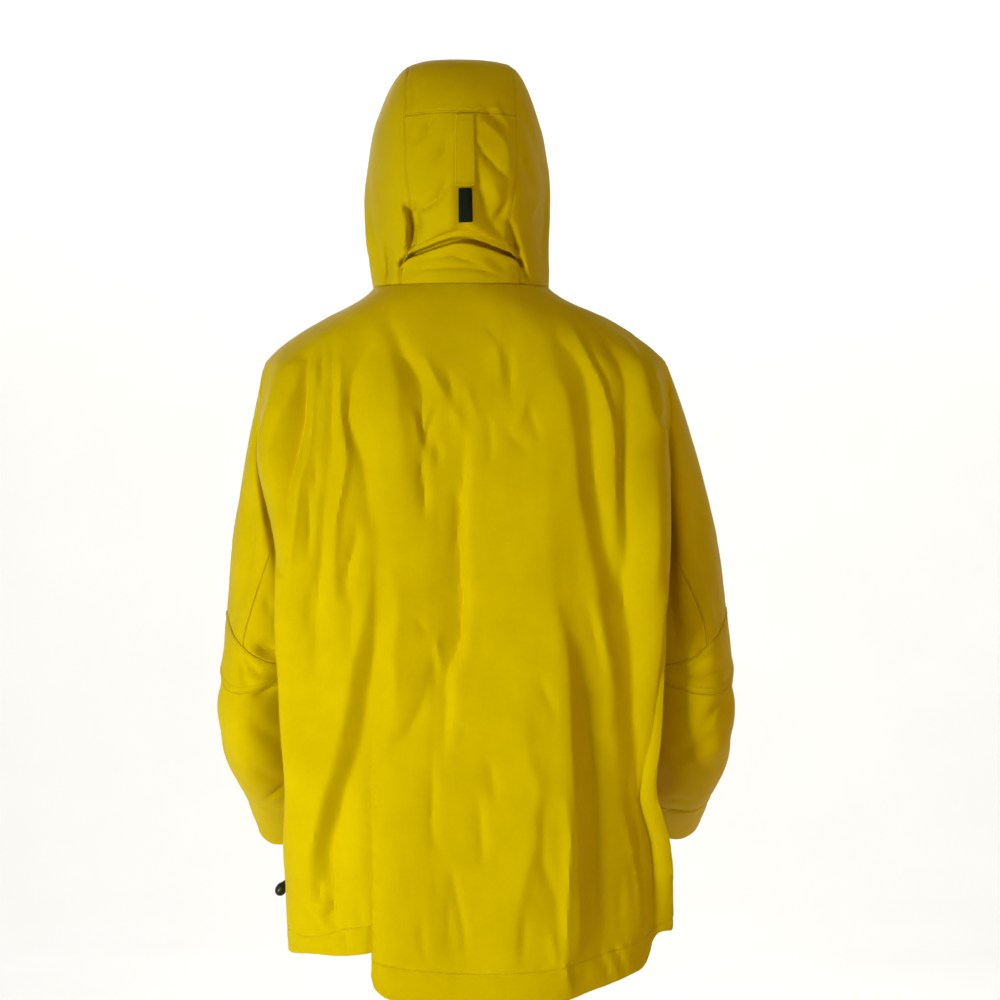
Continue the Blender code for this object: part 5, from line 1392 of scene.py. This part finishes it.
def gathered(name, parts, finish, angle=40):
    """One object from several lists of points and faces, with its faces turned outwards."""
    mesh = bpy.data.meshes.new(name)
    points, faces = [], []
    for found, quads in parts:
        faces += [[int(i) + len(points) for i in quad] for quad in quads]
        points += [tuple(p * MM) for p in np.asarray(found, float)]
    mesh.from_pydata(points, [], faces)
    shape = bmesh.new()
    shape.from_mesh(mesh)
    bmesh.ops.recalc_face_normals(shape, faces=shape.faces)
    shape.to_mesh(mesh)
    shape.free()
    return placed(mesh, finish, angle)


def slider_and_pull(body, metal):
    """The slider with the loop over its back, and the pull tab that hangs in the loop."""
    spot = Spot(body, FRONT, SLIDER_DROP)
    width, length = SLIDER_BODY
    start, end = -length / 2, length / 2
    top = plate(spot, rounded(width, start, end, 3.0), SLIDER_OVER - 1.5, SLIDER_OVER)
    under = plate(spot, rounded(width - 0.8, start, end, 3.0), SLIDER_UNDER, SLIDER_UNDER + 1.3)
    post = rounded(2.6, start + 0.6, start + 5, 2.4)
    post = plate(spot, post, SLIDER_UNDER + 1, SLIDER_OVER - 1, edge=0.2)
    axis = SLIDER_OVER + BRIDGE_INNER
    middle = (BRIDGE_OUTER + BRIDGE_INNER) / 2
    turn = np.linspace(-0.25, math.pi + 0.25, 22)
    line = spot.at(0 * turn, -middle * np.cos(turn), axis + middle * np.sin(turn))
    loop = sweep(line, np.broadcast_to(spot.across, line.shape), (BRIDGE_OUTER - BRIDGE_INNER) / 2, 14,
                 BRIDGE_WIDTH / (BRIDGE_OUTER - BRIDGE_INNER))
    slider = gathered("slider", [top, under, post, loop], metal)
    hole_half, hole_start, hole_end = PULL_HOLE
    outline = rounded(PULL_WIDTH, -hole_start, PULL_LENGTH, 3.6, 56)
    taper = 1 - 0.16 * np.clip(outline[:, 1] / PULL_LENGTH, 0, 1)
    outline[:, 0] *= taper
    hole = rounded(2 * hole_half, hole_start, hole_end, 3.0, 56)
    tab = plate(spot, outline, axis - PULL_THICK / 2, axis + PULL_THICK / 2, hole=hole, edge=0.4)
    face = axis + PULL_THICK / 2
    ridges = [plate(spot, rounded(4.2, at - 0.45, at + 0.45, 2.6, 24), face - 0.1, face + 0.32, edge=0.2)
              for at in PULL_LENGTH - 4.0 - np.arange(6) * 2.1]  # for the fingers
    pull = gathered("pull_tab", [tab] + ridges, metal)
    return slider, pull


def toggle(body, finish):
    """The turned plastic end on the hem's drawcord, pulled up tight to where the cord comes out."""
    lean = math.radians(TOGGLE_LEAN)
    out = body.normal(TOGGLE_PLACE, TOGGLE_DROP)
    away = np.array([out[0], out[1], 0]) / math.hypot(out[0], out[1])
    axis = away * math.sin(lean) + np.array([0, 0, -math.cos(lean)])
    side = np.cross(axis, [0, 1, 0])
    side = side / np.linalg.norm(side)
    other = np.cross(axis, side)
    tip = body.point(TOGGLE_PLACE, TOGGLE_DROP) + out * (SEAM_GAP + TOGGLE_TURNED[0][1])
    end = TOGGLE_TURNED[-1][0]
    along = np.unique(np.concatenate([np.linspace(0, end, 34), [11.6, 12.0, 12.4, 12.8]]))
    radius = smooth(TOGGLE_TURNED, along) - GROOVE_DEPTH * np.exp(-((along - TOGGLE_GROOVE) / 0.45) ** 2)
    radius[0], radius[-1] = 0.9, 0.5
    turn = full_turn(36)
    flat = 1 - 0.10 * np.cos(2 * turn)  # a little flatter than round
    spokes = side * np.cos(turn)[:, None] + other * np.sin(turn)[:, None]
    ring = tip + axis * along[:, None, None] + spokes * (flat[:, None] * radius[:, None, None])
    rings, count = ring.shape[:2]
    faces = ring_quads(rings, count).tolist()
    faces += [list(range(count)), list(range(rings * count))[:-count - 1:-1]]
    return gathered("toggle", [(ring.reshape(-1, 3), faces)], finish, 50)


def hooks(made, finish, spacing=1.15, height=0.75):
    """The stiff little hooks that stand all over a strip of hook tape."""
    width, length = made.across[:, -1].mean(), made.down[-1].mean()
    bare = 0.8  # along the strip's edges
    columns, rows = int((width - 2 * bare) / spacing), int((length - 2 * bare) / spacing)
    found = []
    arch = np.linspace(0, math.pi * 1.25, 6)
    flat_rows, flat_columns = made.points.shape[:2]
    for i in range(rows):
        for j in range(columns):
            u = (bare + spacing * (j + 0.5 + 0.25 * (i % 2))) / width * (flat_columns - 1)
            v = (bare + spacing * (i + 0.5)) / length * (flat_rows - 1)
            r, c = int(min(v, flat_rows - 2)), int(min(u, flat_columns - 2))
            base, out = made.points[r, c], made.out[r, c]
            across = made.points[r, c + 1] - base
            right = across / np.linalg.norm(across)
            base = base + across * (u - c) + (made.points[r + 1, c] - base) * (v - r)
            turned = i * 2.4 + j * 1.7  # so that no two neighbours lean alike
            tilt = right * math.cos(turned) + np.cross(out, right) * math.sin(turned)
            line = (base + tilt * (0.32 * (1 - np.cos(arch)) - 0.3)[:, None]
                    + out * (height * np.sin(arch) - 0.05)[:, None])
            found.append(sweep(line, np.broadcast_to(np.cross(tilt, out), line.shape), 0.13, 4))
    return several("hook_tape_hooks", found, finish)


# ------------ finishes
WAVE_SCALE = 1000 / 3.1831 / 2  # of a wave texture whose ups and downs are each 1 mm wide
BLOTCH, SPECK, RUMPLE = 71.43, 4.1667, 10.526  # breadth of the cloth's patterns, mm
SPECK_SHARE = 0.3


def linear(colour, alpha=1.0):
    """An sRGB hex colour as linear values."""
    parts = [int(colour[i:i + 2], 16) / 255 for i in (1, 3, 5)]
    return tuple(c / 12.92 if c <= 0.04045 else ((c + 0.055) / 1.055) ** 2.4 for c in parts) + (alpha,)


def add(tree, kind, settings=None, **links):
    """Add a node; settings are its properties and input values, links are inputs from other nodes."""
    made = tree.nodes.new("ShaderNode" + kind)
    for key, value in (settings or {}).items():
        if key in made.inputs:
            made.inputs[key].default_value = value
        else:
            setattr(made, key, value)
    for key, source in links.items():
        wanted = int(key[2:]) if key.startswith("in") else key.replace("_", " ")
        tree.links.new(source, made.inputs[wanted])
    return made


def new_finish(name, **sockets):
    """A material whose shader has the given values, which are the same all over."""
    made = bpy.data.materials.new(name)
    made.use_nodes = True
    shader = made.node_tree.nodes["Principled BSDF"]
    for key, value in sockets.items():
        shader.inputs[key.replace("_", " ")].default_value = value
    return made, made.node_tree, shader


def woven_cloth(name, dark, light, thread, weave_depth, roughness, sheen, rumple=0.0):
    """Plain-weave cloth.  thread is the drawn spacing of its yarns; it and the depths are in mm.

    Real yarns lie 0.2 to 0.5 mm apart, too fine to show, so the weave is drawn coarser.  The colour
    is a little blotched, and the dull sheen comes from fibres that stand up from the yarns.
    """
    made, tree, shader = new_finish(name, Sheen_Weight=sheen, Sheen_Roughness=0.45,
                                    Sheen_Tint=linear(light), Specular_IOR_Level=0.06,
                                    Specular_Tint=linear("#ffe400"))
    place = add(tree, "TexCoord").outputs["Object"]
    grain = add(tree, "UVMap", {"uv_map": "cut"}).outputs["UV"]
    blotch, speck = (add(tree, "TexNoise", {"Scale": 1000 / size, "Detail": detail, "Roughness": rough},
                         Vector=place).outputs["Fac"]
                     for size, detail, rough in ((BLOTCH, 3.0, 0.55), (SPECK, 2.0, 0.6)))
    mixed = add(tree, "Math", {"operation": "MULTIPLY_ADD", "Value_001": SPECK_SHARE},
                in0=speck, in2=blotch).outputs[0]
    tones = add(tree, "ValToRGB", Fac=mixed)
    for stop, where, colour in zip(tones.color_ramp.elements, (0.42, 0.88), (dark, light)):
        stop.position, stop.color = where, linear(colour)
    tree.links.new(tones.outputs["Color"], shader.inputs["Base Color"])
    across, along = (add(tree, "TexWave", {"wave_type": "BANDS", "bands_direction": direction,
                                           "Scale": WAVE_SCALE / thread, "Distortion": 0.6, "Detail": 1.0},
                         Vector=grain).outputs["Fac"] for direction in ("X", "Y"))
    weave = add(tree, "Math", {"operation": "MULTIPLY"}, in0=across, in1=along).outputs[0]
    rough = add(tree, "MapRange", {"To Min": roughness - 0.07, "To Max": roughness + 0.07}, Value=speck)
    tree.links.new(rough.outputs[0], shader.inputs["Roughness"])
    fine = add(tree, "Bump", {"Strength": 0.55, "Distance": weave_depth * MM}, Height=weave)
    last = fine.outputs["Normal"]
    if rumple:
        uneven = add(tree, "TexNoise", {"Scale": 1000 / RUMPLE, "Detail": 4.0, "Roughness": 0.6},
                     Vector=place)
        soft = add(tree, "Bump", {"Strength": 0.5, "Distance": rumple * MM},
                   Height=uneven.outputs["Fac"], Normal=last)
        last = soft.outputs["Normal"]
    tree.links.new(last, shader.inputs["Normal"])
    return made


def grained(name, colour, worn, roughness, grain, metallic=0.0, depth=0.05, wear=0.5, coat=0.0):
    """A smooth hard finish with a fine grain, a little lighter where it is handled.

    grain and depth are in mm.  Real grain is under 0.1 mm across, so it is drawn coarser.
    """
    made, tree, shader = new_finish(name, Metallic=metallic, Coat_Weight=coat, Coat_Roughness=0.2)
    place = add(tree, "TexCoord").outputs["Object"]
    fine = add(tree, "TexNoise", {"Scale": 1000 / grain, "Detail": 4.0}, Vector=place).outputs["Fac"]
    edge = add(tree, "NewGeometry").outputs["Pointiness"]
    rubbed = add(tree, "MapRange", {"From Min": 0.52, "From Max": 0.62, "To Max": wear}, Value=edge)
    mix = add(tree, "Mix", {"data_type": "RGBA"})
    mix.inputs[6].default_value, mix.inputs[7].default_value = linear(colour), linear(worn)
    tree.links.new(rubbed.outputs[0], mix.inputs[0])
    tree.links.new(mix.outputs[2], shader.inputs["Base Color"])
    rough = add(tree, "MapRange", {"To Min": roughness - 0.08, "To Max": roughness + 0.1}, Value=fine)
    tree.links.new(rough.outputs[0], shader.inputs["Roughness"])
    bump = add(tree, "Bump", {"Strength": 0.4, "Distance": depth * MM}, Height=fine).outputs["Normal"]
    tree.links.new(bump, shader.inputs["Normal"])
    return made


# ------------ pieces and what they stand for
def cloth_piece(sheet, node, outside, inside, wall):
    """A cloth piece in place of a solid of the frame, which it hides; its cut size is worked out but not
    used.
    """
    made = sheet.mesh(node + "_cloth", outside, inside, wall)
    width, length, area = sheet.cut()
    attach(made, JACKET)
    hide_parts(node)


def hard_piece(made, slot, body, *nodes):
    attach(made, body)
    if nodes:
        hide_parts(*nodes)


# ------------ the studio, in metres
LENS, SENSOR = 102.857, 36  # mm
CAMERA_PLACE, CAMERA_TURN = (-0.036, 3.2, -0.243), (90, 0, 180)  # level, looking at the back
FLOOR = -1.45  # its height; beyond its reach it curves up into a wall
FLOOR_REACH, FLOOR_CURVE, WALL_TOP = 4.6, 1.5, 4.5
FLOOR_SIDES = 72
ROOM_COLOUR, ROOM_LIGHT = "#ffffff", 0.11
KEY_SPREAD = 64  # degrees: the key light is narrower than the others
LIGHTS = [  # name, place, what it is aimed at, size, power, colour
    ("key", (1.68, 1.73, -0.9), (0.0, 0.0, -0.47), 0.66, 6.6, "#f3ffdf"),
    ("front", (0.3, 3.4, 0.2), (0.0, 0.0, -0.4), 1.6, 6.4, "#ffdca8"),
    ("overhead", (-0.15, 1.05, 2.1), (0.0, 0.1, -0.1), 1.2, 11.5, "#ffe8c4"),
    ("far_side", (-2.2, 0.6, -0.9), (0.0, 0.0, -0.55), 1.0, 7, "#ffb860"),
    ("face_side", (0.8, -2.6, 0.8), (0.0, 0.0, -0.3), 1.8, 22, "#ffffff"),
    ("backdrop", (0.0, -2.6, 2.6), (0.0, -5.5, 0.0), 3.0, 170, "#ffffff"),
]


def studio():
    """The camera at the back, soft light from its left, and a plain pale floor that curves up."""
    camera = linked(bpy.data.objects.new("camera", bpy.data.cameras.new("camera")))
    camera.data.lens, camera.data.sensor_width = LENS, SENSOR
    camera.location = CAMERA_PLACE
    camera.rotation_euler = [math.radians(angle) for angle in CAMERA_TURN]
    bpy.context.scene.camera = camera
    for name, place, aim, size, power, colour in LIGHTS:
        light = linked(bpy.data.objects.new(name, bpy.data.lights.new(name, "AREA")))
        light.data.size, light.data.energy = size, power
        if name == "key":
            light.data.spread = math.radians(KEY_SPREAD)
        light.data.color = linear(colour)[:3]
        light.location = place
        way = np.array(place) - np.array(aim)
        lean = math.acos(way[2] / np.linalg.norm(way))
        light.rotation_euler = (lean, 0, math.atan2(way[1], way[0]) + math.pi / 2)
        light.visible_camera = False
    world = bpy.data.worlds.new("soft_room")
    world.use_nodes = True
    room = world.node_tree.nodes["Background"]
    room.inputs["Color"].default_value = linear(ROOM_COLOUR)
    room.inputs["Strength"].default_value = ROOM_LIGHT
    bpy.context.scene.world = world
    bpy.context.scene.view_settings.view_transform = "Standard"

    section = [(FLOOR_REACH, FLOOR)]
    section += [(FLOOR_REACH + FLOOR_CURVE * math.sin(t), FLOOR + FLOOR_CURVE * (1 - math.cos(t)))
                for t in np.linspace(0.1, math.pi / 2, 14)]
    section.append((FLOOR_REACH + FLOOR_CURVE, FLOOR + WALL_TOP))
    points = [(r * math.cos(t) / MM, r * math.sin(t) / MM, z / MM)
              for r, z in section for t in full_turn(FLOOR_SIDES)]
    faces = ring_quads(len(section), FLOOR_SIDES).tolist() + [list(range(FLOOR_SIDES))]
    # Matt wall paint: even and pale, with a faint unevenness of tone.
    paint, tree, shader = new_finish("pale_matt_paint", Roughness=0.9)
    place = add(tree, "TexCoord").outputs["Object"]
    faint = add(tree, "TexNoise", {"Scale": 3.0}, Vector=place).outputs["Fac"]
    tones = add(tree, "ValToRGB", Fac=faint)
    for stop, where, colour in zip(tones.color_ramp.elements, (0.3, 0.7), ("#f3f3f1", "#f5f5f3")):
        stop.position, stop.color = where, linear(colour)
    tree.links.new(tones.outputs["Color"], shader.inputs["Base Color"])
    gathered("floor", [(points, faces)], paint)


# ------------ putting the jacket together
def dress():
    # Coated cotton and nylon: a dull, deep yellow, finely rumpled, with hardly any gloss.
    shell = woven_cloth("coated_cotton_nylon", "#ccad00", "#d6b800", 1.1, 0.10, 0.58, 0.02, rumple=0.4)
    # The same cloth's inner face, where it has no coating: duller, greyer and softer.
    lining = woven_cloth("uncoated_inner_face", "#9f8a3a", "#b29c48", 1.1, 0.14, 0.8, 0.05)
    # Spun polyester thread: a little duller than the cloth, so that each stitch just shows.
    thread = grained("polyester_thread", "#b89a06", "#cdb020", 0.55, 1.1111, wear=0.2)
    # Woven nylon tape under the hooks: near black, with a green cast.
    hook_tape = woven_cloth("nylon_hook_tape", "#141a16", "#222a25", 0.9, 0.12, 0.7, 0.05)
    # Woven polyester zip tape: flat black, finely ribbed.
    tape = woven_cloth("polyester_zip_tape", "#101112", "#1b1c1e", 0.7, 0.10, 0.75, 0.05)
    # Moulded nylon, for the coil and the hooks: black, with small soft highlights.
    nylon = grained("moulded_nylon", "#0d0d0e", "#1a1a1b", 0.4, 2.0, depth=0.02)
    # Cast zinc with clear lacquer: dark metal, rubbed brighter on its edges.
    zinc = grained("lacquered_zinc", "#34332f", "#8b8577", 0.34, 3.846, metallic=0.85, depth=0.03,
                   wear=0.7, coat=0.3)
    # Moulded acetal: smooth black plastic, a little paler where it is handled.
    plastic = grained("moulded_acetal", "#0b0b0c", "#2a2a2b", 0.4, 2.381, depth=0.03, wear=0.6)

    body = body_form()
    hood = hood_form(body)
    sheets = [("body", "back", back_cloth(body))]
    for side, hand in SIDES:
        sheets.append(("body", "front_" + hand, front_cloth(body, side)))
        sheets += [("sleeves",) + panel for panel in sleeve_panels(body, sleeve_form(body, side), side)]
    sheets += [("body",) + band for band in hem_bands(body)]
    sheets += [("hood",) + panel for panel in hood_panels(body, hood)]
    lines = {"body": [], "hood": [], "sleeves": []}
    for group, node, sheet in sheets:
        cloth_piece(sheet, node, shell, lining, HEM_WALL if node.startswith("hem") else WALL)
        for edge, kind in sheet.kinds.items():
            if kind == "fold" and edge != "top":  # only the hem's side of a fold is stitched
                continue
            lines[group] += [sheet.line(edge, distance) for distance in STITCH_ROWS.get(kind, [])]
    for group, found in lines.items():
        hard_piece(stitches("stitches_" + group, found, thread), "coated_shell", JACKET)

    all_free = dict.fromkeys(("left", "right", "top", "bottom"), "free")
    tab = hood_strip(hood, TAB_WIDTH, TAB_TOP_ROW, TAB_END_ROW, TAB_CLOTH, TAB_STEP, TAB_FLARE)
    tab.lift(crumple(tab.points, TAB_CRUMPLE, CRUMPLE_SEEDS["tab"]))
    tab.finish_edges(all_free)
    cloth_piece(tab, "hood_tab", shell, shell, TAB_CLOTH)
    around = [tab.line(edge, distance) for edge, distance in TAB_STITCHES]
    hard_piece(stitches("stitches_tab", around, thread, 2.9, 2.1, 0.26), "coated_shell", JACKET)
    strip = hood_strip(hood, STRIP_WIDTH, STRIP_TOP_ROW, STRIP_END_ROW, STRIP_CLOTH, STRIP_STEP)
    strip.finish_edges(all_free)
    cloth_piece(strip, "hood_hook_strip", hook_tape, hook_tape, STRIP_CLOTH)
    hard_piece(hooks(strip, nylon), "hook_and_loop", JACKET)

    for hand, inner, outer in (("left", TAPE_INNER, TAPE_OUTER), ("right", -TAPE_OUTER, -TAPE_INNER)):
        sheet = zip_tape(body, inner, outer, HEM_CLOTH + SEAM_GAP)
        cloth_piece(sheet, "zip_tape_" + hand, tape, tape, TAPE_CLOTH - 0.1)
    hard_piece(coil(body, nylon), "zip_coil", JACKET, "zip_coil")
    slider, pull = slider_and_pull(body, zinc)
    hard_piece(slider, "zinc_alloy", JACKET, "zip_slider")
    hard_piece(pull, "zinc_alloy", PULL_BODY, "zip_pull")
    hard_piece(toggle(body, plastic), "moulded_plastic", JACKET, "hem_toggle")


studio()
dress()
